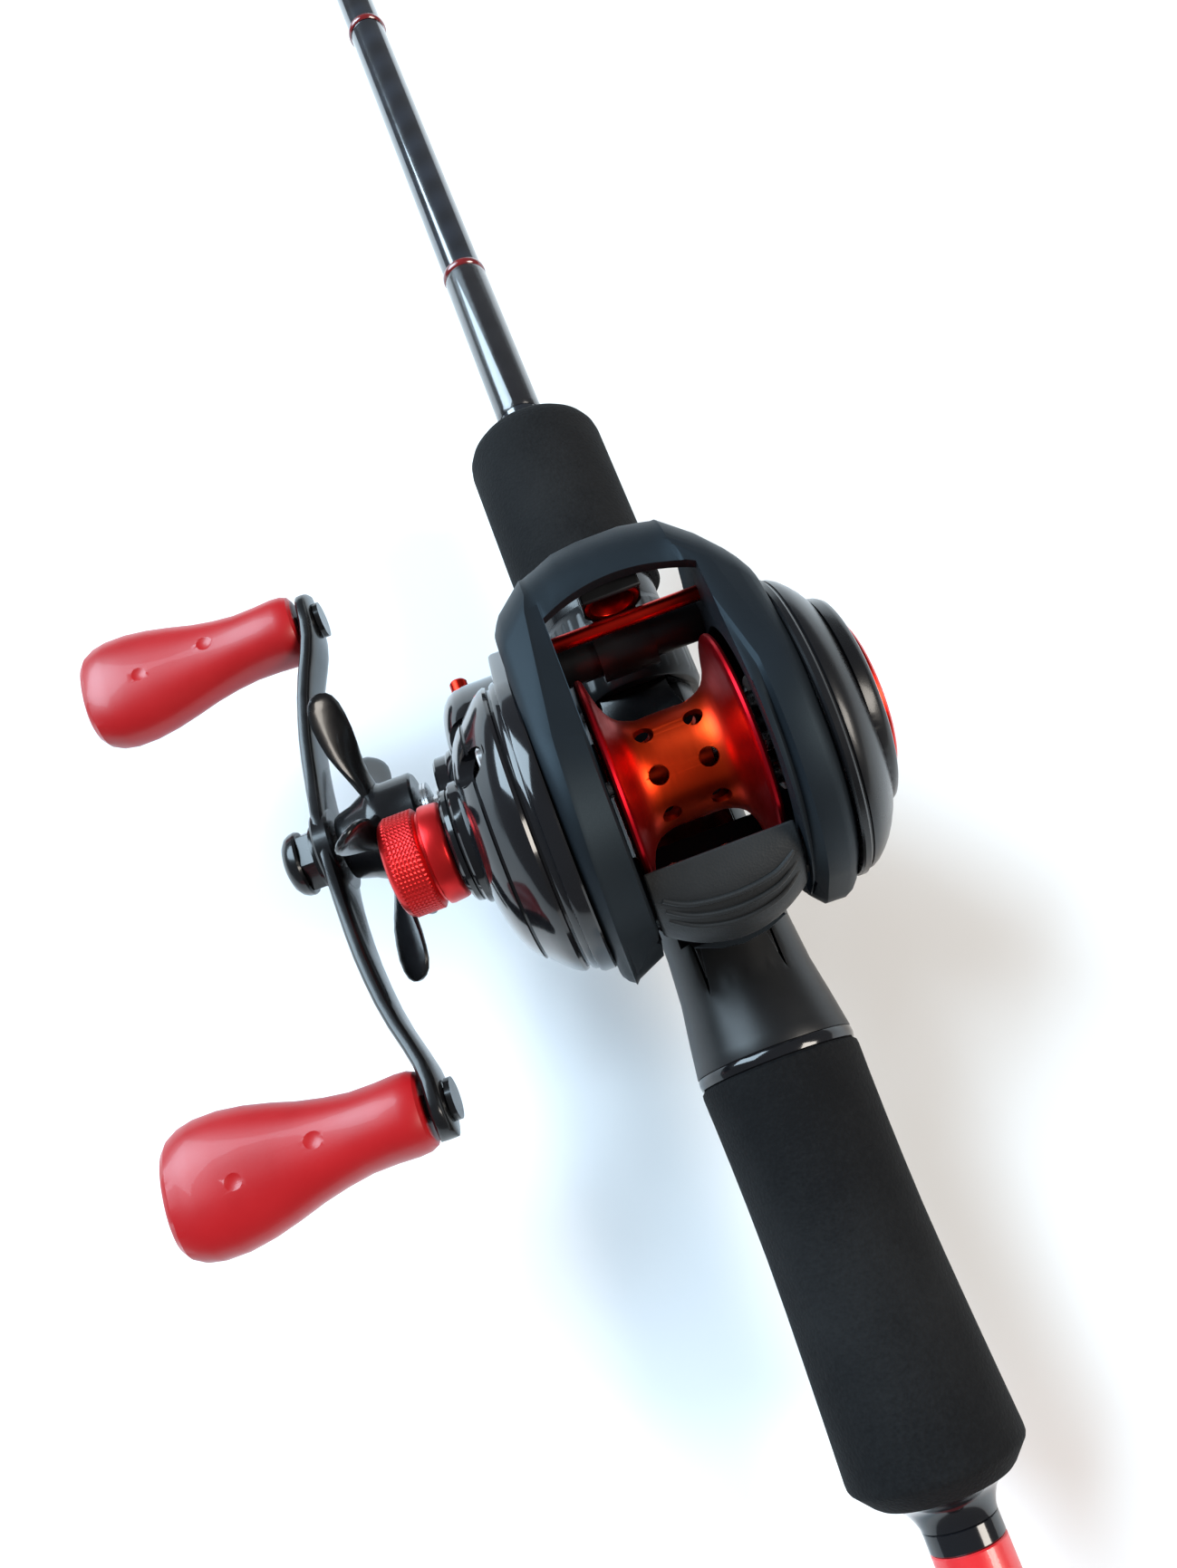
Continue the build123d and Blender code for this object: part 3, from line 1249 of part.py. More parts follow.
save("cast_control_cap", at_reel(cast_control_cap()))
save("cap_shim", at_reel(cap_shim()))
save("star_drag", at_reel(star_drag()))
save("handle_arm", at_reel(handle_arm()))
save("handle_nut", at_reel(handle_nut()))
save("nut_retainer", at_reel(nut_retainer()))
save("knob_spindles", *[at_reel(pin) for pin in knob_spindles()])
save("knob_front", at_reel(knob(1)))
save("knob_rear", at_reel(knob(-1)))
save("palm_side_cover", at_reel(palm_side_cover()))
save("brake_dial", at_reel(brake_dial()))
save("magnet_carrier", at_reel(magnet_carrier()))
save("magnets", *[at_reel(disc_part) for disc_part in magnets()])
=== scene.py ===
import bpy
import json
import math
from mathutils import Matrix, Vector

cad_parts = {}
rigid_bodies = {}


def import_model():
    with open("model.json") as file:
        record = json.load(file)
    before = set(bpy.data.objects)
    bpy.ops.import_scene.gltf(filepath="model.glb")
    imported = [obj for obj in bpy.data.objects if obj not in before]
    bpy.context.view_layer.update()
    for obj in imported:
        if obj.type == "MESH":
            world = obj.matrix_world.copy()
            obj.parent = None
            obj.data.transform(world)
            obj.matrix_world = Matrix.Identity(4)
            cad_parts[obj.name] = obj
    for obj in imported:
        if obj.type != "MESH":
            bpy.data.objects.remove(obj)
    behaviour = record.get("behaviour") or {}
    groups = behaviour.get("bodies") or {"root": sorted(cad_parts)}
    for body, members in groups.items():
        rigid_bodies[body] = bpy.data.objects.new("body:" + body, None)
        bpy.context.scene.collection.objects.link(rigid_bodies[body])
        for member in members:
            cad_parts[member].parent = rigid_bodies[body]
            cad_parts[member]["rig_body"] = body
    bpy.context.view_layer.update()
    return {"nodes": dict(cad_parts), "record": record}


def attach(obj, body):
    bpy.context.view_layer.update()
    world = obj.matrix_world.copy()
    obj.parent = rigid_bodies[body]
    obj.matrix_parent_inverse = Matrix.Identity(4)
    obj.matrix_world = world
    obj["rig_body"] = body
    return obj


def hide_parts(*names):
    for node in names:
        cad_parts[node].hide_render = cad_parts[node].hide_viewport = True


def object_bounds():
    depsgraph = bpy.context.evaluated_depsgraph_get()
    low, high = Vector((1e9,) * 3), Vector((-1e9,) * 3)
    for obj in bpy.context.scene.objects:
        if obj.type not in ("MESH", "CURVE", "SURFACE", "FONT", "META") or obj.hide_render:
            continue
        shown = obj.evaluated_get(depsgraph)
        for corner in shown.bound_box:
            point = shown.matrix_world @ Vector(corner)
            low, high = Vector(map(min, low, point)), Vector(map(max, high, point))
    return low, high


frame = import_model()
MM = 0.001

# ---- Blank: one tapered tube of wrapped carbon cloth from the butt to the tip,
# clear coated over black. Every other piece of the rod is glued on it.
BLANK_BUTT_R, BLANK_TIP_R = 4.9, 0.9
BORE_BUTT_R, BORE_TIP_R = 3.8, 0.4
BLANK_FROM, BLANK_TO = 5.0, 1977.0
TAPE_WAVE = 700.0
ON_AXIS = 0.0001


class Wire:
    """A shader socket that can be used in sums; sizes of patterns are in mm."""

    def __init__(self, tree, socket):
        self.tree, self.socket = tree, socket

    def node(self, kind, put, settings=None, out=0):
        """A new node with its settings made first, then its inputs; gives one output."""
        made = self.tree.nodes.new(kind)
        for key, value in (settings or {}).items():
            if key == "stops":
                ramp = made.color_ramp
                while len(ramp.elements) < len(value):
                    ramp.elements.new(0.5)
                for stop, (place, shade) in zip(ramp.elements, value):
                    stop.position, stop.color = place, (shade, shade, shade, 1)
            else:
                setattr(made, key, value)
        for key, value in put.items():
            if isinstance(value, Wire):
                self.tree.links.new(value.socket, made.inputs[key])
            else:
                made.inputs[key].default_value = value
        return Wire(self.tree, made.outputs[out])

    def sum(self, operation, *values):
        return self.node("ShaderNodeMath", dict(enumerate(values)), {"operation": operation})

    def __add__(self, other):
        return self.sum("ADD", self, other)

    def __sub__(self, other):
        return self.sum("SUBTRACT", self, other)

    def __rsub__(self, other):
        return self.sum("SUBTRACT", other, self)

    def __mul__(self, other):
        return self.sum("MULTIPLY", self, other)

    __radd__, __rmul__ = __add__, __mul__

    def axes(self):
        split = self.node("ShaderNodeSeparateXYZ", {0: self})
        outs = split.socket.node.outputs
        return [Wire(self.tree, outs[i]) for i in range(3)]

    def noise(self, size_mm, detail=3.0, rough=0.5):
        put = {"Vector": self, "Scale": 1000 / size_mm, "Detail": detail, "Roughness": rough}
        return self.node("ShaderNodeTexNoise", put, {"noise_dimensions": "3D"})

    def cells(self, size_mm):
        return self.node("ShaderNodeTexVoronoi", {"Vector": self, "Scale": 1000 / size_mm})

    def ramp(self, *stops):
        return self.node("ShaderNodeValToRGB", {0: self}, {"stops": stops})

    def blend(self, low, high):
        """Between two colours, each a socket or red, green, blue and alpha."""
        return self.node("ShaderNodeMix", {0: self, 6: low, 7: high}, {"data_type": "RGBA"}, 2)

    def tint(self, low, high):
        return self.blend((*low, 1), (*high, 1))

    def grown(self, x, y, z):
        return self.node("ShaderNodeMapping", {0: self, 3: (x, y, z)})


def finish(name, look, **fixed):
    """A material; look gets the object's place and gives the sockets that vary."""
    made = bpy.data.materials.new(name)
    made.use_nodes = True
    tree = made.node_tree
    shader = tree.nodes["Principled BSDF"]
    place = Wire(tree, tree.nodes.new("ShaderNodeTexCoord").outputs["Object"])
    varied = look(place)
    if "height" in varied:
        height, depth_mm, strength = varied.pop("height")
        varied["Normal"] = place.node("ShaderNodeBump", {"Height": height, "Distance": depth_mm * MM,
                                                         "Strength": strength})
    for key, value in varied.items():
        tree.links.new(value.socket, shader.inputs[key])
    for key, value in fixed.items():
        shader.inputs[key.replace("_", " ")].default_value = value
    return made


def alone(piece=None):
    """Object mode with nothing selected, or only this piece."""
    if bpy.context.mode != "OBJECT":
        bpy.ops.object.mode_set(mode="OBJECT")
    bpy.ops.object.select_all(action="DESELECT")
    if piece is not None:
        piece.select_set(True)
        bpy.context.view_layer.objects.active = piece


def turned(name, stations, axis="Y", centre=(0, 0, 0), sides=96):
    """A turned piece: a circle is pulled along its axis through (place, radius) stations in mm."""
    alone()
    along = Vector((0, 1, 0)) if axis == "Y" else Vector((1, 0, 0))
    spin = (-math.pi / 2, 0, 0) if axis == "Y" else (0, math.pi / 2, 0)
    middle = Vector(centre) * MM
    place, radius = stations[0]
    bpy.ops.mesh.primitive_circle_add(vertices=sides, radius=radius * MM, rotation=spin,
                                      location=middle + along * place * MM)
    piece = bpy.context.object
    piece.name = name
    bpy.ops.object.mode_set(mode="EDIT")
    for new_place, new_radius in stations[1:]:
        pull = along * (new_place - place) * MM
        bpy.ops.mesh.extrude_region_move(TRANSFORM_OT_translate={"value": pull})
        grow = new_radius / radius
        keep = (grow, 1, grow) if axis == "Y" else (1, grow, grow)
        if abs(grow - 1) > 1e-6:
            bpy.ops.transform.resize(value=keep, center_override=middle + along * new_place * MM)
        place, radius = new_place, new_radius
    bpy.ops.mesh.select_all(action="SELECT")
    bpy.ops.mesh.remove_doubles(threshold=1e-6)
    bpy.ops.mesh.normals_make_consistent(inside=False)
    bpy.ops.object.mode_set(mode="OBJECT")
    return settled(piece)


def settled(piece, sharp=32):
    """Put the piece's place in its mesh and shade it."""
    alone(piece)
    bpy.ops.object.transform_apply(location=True, rotation=True, scale=True)
    bpy.ops.object.shade_smooth_by_angle(angle=math.radians(sharp))
    return piece


def shown(piece, look, body, slot, *nodes):
    """Give the piece its finish, its body and the CAD nodes that it stands for."""
    piece.data.materials.clear()
    piece.data.materials.append(look)
    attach(piece, body)
    if nodes:
        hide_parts(*nodes)
    return piece


def carbon_look(place):
    """Faint spiral of the wrapping tape under the clear coat."""
    x, y, z = place.axes()
    tape = place.sum("SINE", y * TAPE_WAVE + place.sum("ARCTAN2", z, x))
    cloud = place.noise(9.0)
    return {"Base Color": (tape * 0.3 + cloud).tint((0.004, 0.005, 0.007), (0.014, 0.018, 0.026)),
            "Roughness": cloud * 0.12 + 0.10,
            "height": (tape, 0.03, 0.25)}


def blank_r(y):
    """Radius of the blank at y."""
    return BLANK_BUTT_R + (BLANK_TIP_R - BLANK_BUTT_R) * (y - BLANK_FROM) / (BLANK_TO - BLANK_FROM)


carbon = finish("carbon_clear_coat", carbon_look, Coat_Weight=1.0, Coat_Roughness=0.04, IOR=1.5)
stations = [(y, blank_r(y)) for y in (BLANK_FROM, 70, 240, 480, 960, 1440, 1800, BLANK_TO)]
stations += [(BLANK_TO, BORE_TIP_R), (BLANK_FROM, BORE_BUTT_R), stations[0]]
shown(turned("blank_tube", stations, sides=64), carbon, "rod", "blank_gloss", "blank")

# ---- Grips: closed-cell foam turned on a lathe and glued on the blank. The butt grip is a plain
# cylinder with a tapered front, the rear grip is waisted for the hand, and the foregrip is
# glued to the lock nut and turns with it.
FOAM_R = 13.0
GLUE_GAP = 0.08
REAR_FROM, REAR_LONG = 138.7, 57.8
REAR_WAIST = ((0.14, 13.12), (0.28, 12.85), (0.42, 12.62), (0.55, 12.5), (0.68, 12.55), (0.8, 12.7),
              (0.9, 12.88))
NUT_END = 291.7
FORE_FROM, FORE_TO = 285.6, 324.5
FORE_R, FORE_BORE_R, FORE_GAP, FORE_CORNER = 13.1, 11.48, 0.5, 5.0


def foam_look(place):
    cell = place.cells(0.55)
    fleck = place.noise(0.8, 4.0, 0.7)
    patch = place.noise(26.0, 3.0)
    worn = (patch * 0.6 + fleck * 0.4).ramp((0.42, 0.0), (0.72, 1.0))
    return {"Base Color": worn.tint((0.0035, 0.0035, 0.004), (0.013, 0.013, 0.0135)),
            "Roughness": fleck * 0.2 + 0.72,
            "height": (cell + fleck * 0.6, 0.18, 0.5)}


foam = finish("foam_black", foam_look, Specular_IOR_Level=0.12)


def sleeved(outer):
    """Close a sleeve's outside stations with its bore, a glue gap off the tapered blank."""
    first, last = outer[0], outer[-1]
    return outer + [(last[0], blank_r(last[0]) + GLUE_GAP), (first[0], blank_r(first[0]) + GLUE_GAP), first]


butt = [(5.0, FOAM_R - 0.5), (5.3, FOAM_R), (20, FOAM_R), (40, FOAM_R), (58, FOAM_R),
        (61, FOAM_R - 0.15), (64, FOAM_R - 0.6), (67, 12.0), (70, 11.0), (73, 9.7), (75.2, 8.6),
        (76.0, 8.0)]
shown(turned("butt_grip_foam", sleeved(butt)), foam, "rod", "eva_foam", "butt_grip")

rear = [(135.5, 10.2), (136.0, 10.9), (138.2, 13.1), (REAR_FROM, 13.35), (139.4, 13.4)]
rear += [(REAR_FROM + share * REAR_LONG, radius) for share, radius in REAR_WAIST]
rear += [(195.4, 13.08), (196.1, 13.0), (196.5, 12.6)]
shown(turned("rear_grip_foam", sleeved(rear)), foam, "rod", "eva_foam", "rear_grip")

fore = [(FORE_FROM, FORE_BORE_R), (FORE_FROM, 12.7), (286.0, FORE_R), (300, FORE_R), (312, FORE_R)]
for degrees in (0, 18, 36, 54, 72, 90):
    turn = math.radians(degrees)
    fore.append((FORE_TO - FORE_CORNER * (1 - math.sin(turn)), FORE_R - FORE_CORNER * (1 - math.cos(turn))))
fore += [(FORE_TO, blank_r(324) + FORE_GAP), (NUT_END + 0.1, blank_r(NUT_END) + FORE_GAP),
         (NUT_END + 0.1, FORE_BORE_R), (FORE_FROM, FORE_BORE_R)]
shown(turned("foregrip_foam", fore), foam, "lock_nut", "eva_foam", "foregrip")

# ---- Butt cap: a moulded rubber cup that closes the butt grip and plugs the end of the blank.
# It is pressed on with its stem inside the tube, and the rod stands on its flat face.
CAP_CORNER = 1.2


def rubber_look(place):
    grain = place.noise(1.2, 4.0, 0.6)
    return {"Base Color": grain.tint((0.008, 0.008, 0.008), (0.02, 0.02, 0.019)),
            "Roughness": grain * 0.2 + 0.55, "height": (grain, 0.05, 0.4)}


rubber = finish("rubber_cap", rubber_look)
cap_stations = [(0, ON_AXIS), (0, 11.6)]
for degrees in (15, 35, 55, 75, 90):
    turn = math.radians(degrees)
    cap_stations.append((CAP_CORNER * (1 - math.cos(turn)), 11.8 + CAP_CORNER * math.sin(turn)))
cap_stations += [(4.6, 13.0), (5.0, 12.8), (5.0, 3.6), (16.5, 3.3), (17.0, 2.9), (17.0, ON_AXIS)]
shown(turned("butt_cap_rubber", cap_stations), rubber, "rod", "rubber_black", "butt_cap")

# ---- Sleeves and winding checks: heat-shrunk tube on the blank between the grips, black with one
# red length, and pressed rings of black metal that finish the foam's ends.
SLEEVE_R = 5.6


def gloss_look(place):
    ripple = place.noise(14.0, 2.0)
    dust = place.noise(0.5, 3.0, 0.7)
    return {"Base Color": ripple.tint((0.003, 0.003, 0.0035), (0.009, 0.009, 0.011)),
            "Roughness": ripple * 0.10 + dust * 0.06 + 0.05, "height": (ripple, 0.25, 0.18)}


def red_sleeve_look(place):
    cloud = place.noise(6.0, 3.0)
    grain = place.noise(0.35, 2.0)
    return {"Base Color": cloud.tint((0.50, 0.008, 0.012), (0.68, 0.022, 0.025)),
            "Roughness": grain * 0.2 + 0.28, "height": (grain, 0.03, 0.3)}


gloss = finish("gloss_black", gloss_look, Specular_IOR_Level=0.3, Coat_Weight=0.3, Coat_Roughness=0.03)
red_tube = finish("red_sleeve", red_sleeve_look, Coat_Weight=0.3)
for name, start, end in (("black_sleeve_front", 128.0, 131.0), ("black_sleeve_back", 80.0, 100.0)):
    wall = [(start, SLEEVE_R - 0.25), (start + 0.25, SLEEVE_R), (end - 0.25, SLEEVE_R),
            (end, SLEEVE_R - 0.25)]
    shown(turned(name, sleeved(wall)), gloss, "rod", "gloss_black", "black_sleeves")
wall = [(100, SLEEVE_R - 0.2), (100.2, SLEEVE_R), (127.8, SLEEVE_R), (128, SLEEVE_R - 0.2)]
shown(turned("red_sleeve_tube", sleeved(wall)), red_tube, "rod", "red_grip", "red_sleeve")

butt_check = [(76, 7.4), (76.2, 7.6), (77.2, 7.6), (78, 7.1), (79, 6.3), (80, 5.65)]
rear_check = [(131, 5.65), (131.6, 5.75), (132.6, 6.2), (133.6, 6.8), (134.4, 7.6), (135.1, 8.8),
              (135.4, 9.5), (135.5, 9.6)]
seat_check = [(196.5, 12.5), (196.7, 12.8), (197.4, 12.95), (198.1, 12.9), (198.5, 12.7)]
for name, outer in (("butt_check", butt_check), ("rear_check", rear_check), ("seat_check", seat_check)):
    shown(turned(name, sleeved(outer)), gloss, "rod", "gloss_black", "winding_checks")

# ---- Thread wraps: fine thread wound side by side over the blank and the guides' feet, under
# clear coat. Two narrow red bands finish the windings next to the handle.
RING_Y = (964.0, 1167.2, 1345.0, 1497.4, 1637.1, 1764.1, 1878.4)
RING_R = (3.8, 2.8, 2.3, 2.0, 1.8, 1.8, 1.8)
FOOT_FROM, FOOT_TO = 5.6, 14.5
THREAD_MM = 0.22


def thread_look(low, high):
    def look(place):
        x, y, z = place.axes()
        strand = place.sum("SINE", y * (2000 * math.pi / THREAD_MM))
        cloud = place.noise(5.0)
        return {"Base Color": cloud.tint(low, high), "Roughness": cloud * 0.1 + 0.12,
                "height": (strand, 0.02, 0.4)}
    return look


black_thread = finish("black_thread", thread_look((0.004, 0.004, 0.005), (0.012, 0.012, 0.014)),
                      Coat_Weight=1.0, Coat_Roughness=0.05)
red_thread = finish("red_thread", thread_look((0.10, 0.003, 0.004), (0.20, 0.005, 0.007)),
                    Coat_Weight=1.0, Coat_Roughness=0.05)


def winding(name, start, end, height):
    """Clear-coated winding with run-out ends."""
    ease = min(1.2, (end - start) / 3)
    outer = [(start, blank_r(start) + 0.1), (start + ease * 0.35, blank_r(start) + height * 0.7),
             (start + ease, blank_r(start + ease) + height), (end - ease, blank_r(end - ease) + height),
             (end - ease * 0.35, blank_r(end) + height * 0.7), (end, blank_r(end) + 0.1)]
    return turned(name, sleeved(outer), sides=64)


shown(winding("handle_winding", 330.0, 367.8, 0.35), black_thread, "rod", "gloss_black", "thread_wraps")
for count, y in enumerate(RING_Y, 1):
    for side, word in ((-1, "back"), (1, "front")):
        low, high = sorted((y + side * FOOT_FROM, y + side * FOOT_TO))
        wrap = winding(f"winding_{word}_{count}", low, high, 0.9)
        shown(wrap, black_thread, "rod", "gloss_black", "thread_wraps")
for count, start in enumerate((367.8, 445.7), 1):
    shown(winding(f"red_band_{count}", start, start + 1.6, 0.45), red_thread, "rod", "red_grip", "trim_rings")

# ---- Line guides: stamped and bent wire frames with two feet under the windings, each holding a
# polished ceramic ring; the last one is a tube glued over the tip.
HOLD_OVER = 0.98
LEG_THICK = 0.45
TIP_FROM, TIP_TO = 1965.0, 1978.0
TIP_RING_R = 1.9


def metal_look(low, high, rough, scale_mm=3.0):
    def look(place):
        cloud = place.noise(scale_mm, 3.0)
        fine = place.noise(0.3, 2.0)
        return {"Base Color": cloud.tint(low, high), "Roughness": cloud * 0.12 + fine * 0.05 + rough,
                "height": (fine, 0.01, 0.3)}
    return look


black_metal = finish("black_anodised", metal_look((0.003, 0.003, 0.0035), (0.009, 0.009, 0.010), 0.16),
                     Specular_IOR_Level=0.28, Coat_Weight=0.18, Coat_Roughness=0.08)
ceramic = finish("ring_ceramic", metal_look((0.02, 0.021, 0.024), (0.05, 0.052, 0.056), 0.05),
                 Coat_Weight=1.0)


def wire(name, points, thick):
    """Bent wire along points in mm; thick is its radius."""
    alone()
    bpy.ops.curve.primitive_nurbs_path_add()
    line = bpy.context.object
    line.name = name
    line.data.splines.clear()
    spline = line.data.splines.new("NURBS")
    spline.points.add(len(points) - 1)
    for knot, point in zip(spline.points, points):
        knot.co = (*(Vector(point) * MM), 1)
    spline.order_u, spline.use_endpoint_u = 3, True
    line.data.bevel_depth, line.data.bevel_resolution = thick * MM, 3
    line.data.resolution_u, line.data.use_fill_caps = 6, True
    bpy.ops.object.convert(target="MESH")
    return settled(bpy.context.object)


def joined(name, pieces):
    """One piece from several."""
    alone(pieces[0])
    for piece in pieces:
        piece.select_set(True)
    bpy.ops.object.join()
    pieces[0].name = name
    return pieces[0]


def ring_section(y, radius, wall, half):
    """Stations of a ring with a rounded section, round an axis along Y."""
    turns = [2 * math.pi * step / 12 for step in range(13)]
    return [(y + half * math.sin(turn), radius + wall / 2 - wall / 2 * math.cos(turn)) for turn in turns]


for count, (y, radius) in enumerate(zip(RING_Y, RING_R), 1):
    z = blank_r(y) + 3.4 + radius
    hold = radius + HOLD_OVER
    parts = [turned("hold", ring_section(y, hold, 1.1, 0.6), centre=(0, 0, z), sides=48)]
    top = blank_r(y) + LEG_THICK
    for side in (-1, 1):
        for hand in (-1, 1):
            leg = [(0.35 * hand, y + side * 12.0, top), (0.4 * hand, y + side * 7.0, top + 0.1),
                   (0.8 * hand, y + side * 4.2, top + 0.5),
                   (hold * 0.62 * hand, y + side * 1.0, z - hold * 0.72),
                   (hold * 0.98 * hand, y, z - 0.25 * hold)]
            parts.append(wire("leg", leg, LEG_THICK))
    shown(joined(f"guide_frame_{count}", parts), black_metal, "rod", "black_metal", "guide_frames")
    ring = turned(f"guide_ring_{count}", ring_section(y, radius, 0.9, 0.9), centre=(0, 0, z), sides=48)
    shown(ring, ceramic, "rod", "zinc_grey", "guide_rings")

tube_r = blank_r(TIP_FROM) + 0.5
tip_z = TIP_RING_R + 0.9 + tube_r
tube = [(TIP_FROM, blank_r(TIP_FROM) + 0.1), (TIP_FROM, tube_r - 0.1), (TIP_FROM + 0.3, tube_r),
        (1977.4, tube_r), (1977.9, tube_r * 0.8), (TIP_TO, ON_AXIS), (1977.2, ON_AXIS),
        (1977.2, blank_r(1977) + 0.1)]
parts = [turned("tube", tube + [tube[0]], sides=40),
         turned("hold", ring_section(TIP_TO, TIP_RING_R + 0.95, 0.85, 0.8), centre=(0, 0, tip_z),
                sides=48)]
for hand in (-1, 1):
    leg = [(0.3 * hand, 1967.0, tube_r * 0.8), (0.5 * hand, 1970.0, tube_r + 0.3),
           (1.9 * hand, 1976.0, tip_z - 1.6), (2.6 * hand, 1977.8, tip_z)]
    parts.append(wire("leg", leg, 0.4))
shown(joined("tip_top_frame", parts), black_metal, "rod", "black_metal", "guide_frames")
tip_ring = turned("tip_top_ring", ring_section(TIP_TO + 0.2, TIP_RING_R, 0.9, 1.6), centre=(0, 0, tip_z),
                  sides=48)
shown(tip_ring, ceramic, "rod", "zinc_grey", "guide_rings")

# ---- Reel seat: one satin nylon moulding with a flat deck, fixed rear hood, trigger and lock-nut
# thread, glued on the blank. A sliding hood and a threaded nut in front clamp the foot of the
# reel, which is a bent metal plate.


def eased(piece, size_mm, angle=38, segments=2):
    """Round a piece's edges."""
    alone(piece)
    edge = piece.modifiers.new("edges", "BEVEL")
    edge.width, edge.segments, edge.limit_method = size_mm * MM, segments, "ANGLE"
    edge.angle_limit, edge.use_clamp_overlap = math.radians(angle), True
    bpy.ops.object.modifier_apply(modifier=edge.name)
    return settled(piece)


def softened(node, look, bevel_mm):
    """A merged copy of a CAD node with its edges softened."""
    source = frame["nodes"][node]
    piece = bpy.data.objects.new(f"{node}_finished", source.data.copy())
    bpy.context.scene.collection.objects.link(piece)
    alone(piece)
    bpy.ops.object.mode_set(mode="EDIT")
    bpy.ops.mesh.select_all(action="SELECT")
    bpy.ops.mesh.remove_doubles(threshold=2e-6)
    bpy.ops.mesh.dissolve_limited(angle_limit=math.radians(0.05))
    bpy.ops.object.mode_set(mode="OBJECT")
    if bevel_mm:
        eased(piece, bevel_mm)
    else:
        settled(piece)
    slots = {part["node"]: part["material_slot"] for part in frame["record"]["subparts"]}
    return shown(piece, look, source["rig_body"], slots[node], node)


def satin_look(place):
    cloud = place.noise(11.0, 3.0)
    grain = place.noise(0.25, 3.0, 0.6)
    return {"Base Color": cloud.tint((0.006, 0.006, 0.0065), (0.012, 0.0125, 0.0135)),
            "Roughness": cloud * 0.14 + grain * 0.08 + 0.26, "height": (grain, 0.02, 0.35)}


satin = finish("satin_nylon", satin_look, Specular_IOR_Level=0.3)
softened("reel_seat", satin, 0.25)
softened("sliding_hood", satin, 0.2)
softened("lock_nut", black_metal, 0.1)
softened("reel_foot", black_metal, 0.1)

# ---- Reel frame: one die-cast body, painted soft-touch black, with two deep side bands that bow
# outwards, a front hood between them and a seat turned out round the spool's palm-side flange.
# It is screwed to the foot.
INNER_L, INNER_R, MID_X = -10.5, 12.5, 1.0
AXIS_Y, AXIS_Z = 240.0, 28.0
BODY_DISC = (239.5, 25.0, 24.5)
NOSE_Z, NOSE_R = 34.5, 12.0
TAIL_DISC = (225.5, 19.5, 12.5)
CREASE_NOSE_Y = 266.0
REAR_Y, REAR_EASE = 248.0, 14.0
# Place across the reel, and how far the nose stands in front of the spool's axis there.
FRONT = ((-18.2, 27.0), (-16.0, 29.8), (-13.8, 32.0), (-10.5, 34.0), (-6.0, 35.9), (1.0, 36.7),
         (7.0, 36.2), (10.5, 34.8), (12.6, 32.8), (15.7, 29.5), (20.2, 23.5))
CREASE_SHIFT = {"left": 0.0, "left in": 0.6, "right": 0.0, "right in": -0.6}
# Place across the reel, inset, and where wanted how far the tail stands forward and is rounded off.
SKIN = ((-18.2, 1.7, 0.2, 1.2), (-17.9, 1.1, 0.1, 0.7), (-17.2, 0.6, 0.0, 0.3), (-16.4, 0.35, 0.0),
        ("left", 0.0, 0.0), ("left in", 0.3, 0.4), (-11.0, 0.35, 1.2, 1.2), (-10.6, 0.4, 3.6, 1.8),
        (-10.3, 0.4, 5.0, 1.4), (-9.5, 0.45, 3.6, 0.5), (-8.0, 0.4, 2.7, 0.2), (-6.0, 0.35, 1.7),
        (-2.5, 0.3, 0.45), (1.0, 0.3, 0.0), (5.0, 0.35, 0.55), (8.0, 0.4, 1.7),
        ("right in", 0.2, 4.6, 0.8), ("right", 0.0, 1.8, 1.6), (14.6, 0.1, 1.2, 0.3),
        (17.6, 0.3, 1.2), (18.8, 0.6, 1.2, 0.3), (19.8, 1.2, 1.2, 0.8), (20.2, 1.8, 1.2, 1.3))
FLANGE_SEAT_L, FLANGE_SEAT_R, FLANGE_SEAT_RADIUS = 11.4, 15.6, 17.6


def soft_touch_look(place):
    cloud = place.noise(18.0, 3.0)
    grain = place.noise(0.22, 3.0, 0.6)
    return {"Base Color": cloud.tint((0.0045, 0.0055, 0.0065), (0.009, 0.011, 0.014)),
            "Roughness": cloud * 0.12 + grain * 0.1 + 0.40, "height": (grain, 0.03, 0.4)}


# The specular tint paints a sky-blue reflection into this black, on top of the cool window lamp.
soft_touch = finish("soft_touch_black", soft_touch_look, Specular_IOR_Level=0.21,
                    Specular_Tint=(0.62, 0.84, 1.0, 1))


def skinned(name, rings):
    """A closed skin through rings of as many points each, in mm, with flat ends."""
    count = len(rings[0])
    mesh = bpy.data.meshes.new(name)
    faces = [tuple(range(count))[::-1], tuple(range(len(rings) * count - count, len(rings) * count))]
    for first in range(0, (len(rings) - 1) * count, count):
        for step in range(count):
            after = (step + 1) % count
            faces.append((first + step, first + after, first + count + after, first + count + step))
    mesh.from_pydata([Vector(point) * MM for ring in rings for point in ring], [], faces)
    piece = bpy.data.objects.new(name, mesh)
    bpy.context.scene.collection.objects.link(piece)
    alone(piece)
    bpy.ops.object.mode_set(mode="EDIT")
    bpy.ops.mesh.select_all(action="SELECT")
    bpy.ops.mesh.normals_make_consistent(inside=False)
    bpy.ops.object.mode_set(mode="OBJECT")
    return settled(piece)


def cut(piece, tool, operation="DIFFERENCE", solver="MANIFOLD"):
    """Cut, join or trim a piece with another, which is used up."""
    alone(piece)
    change = piece.modifiers.new("change", "BOOLEAN")
    change.operation, change.object, change.solver = operation, tool, solver
    bpy.ops.object.modifier_apply(modifier=change.name)
    bpy.data.objects.remove(tool, do_unlink=True)
    return piece


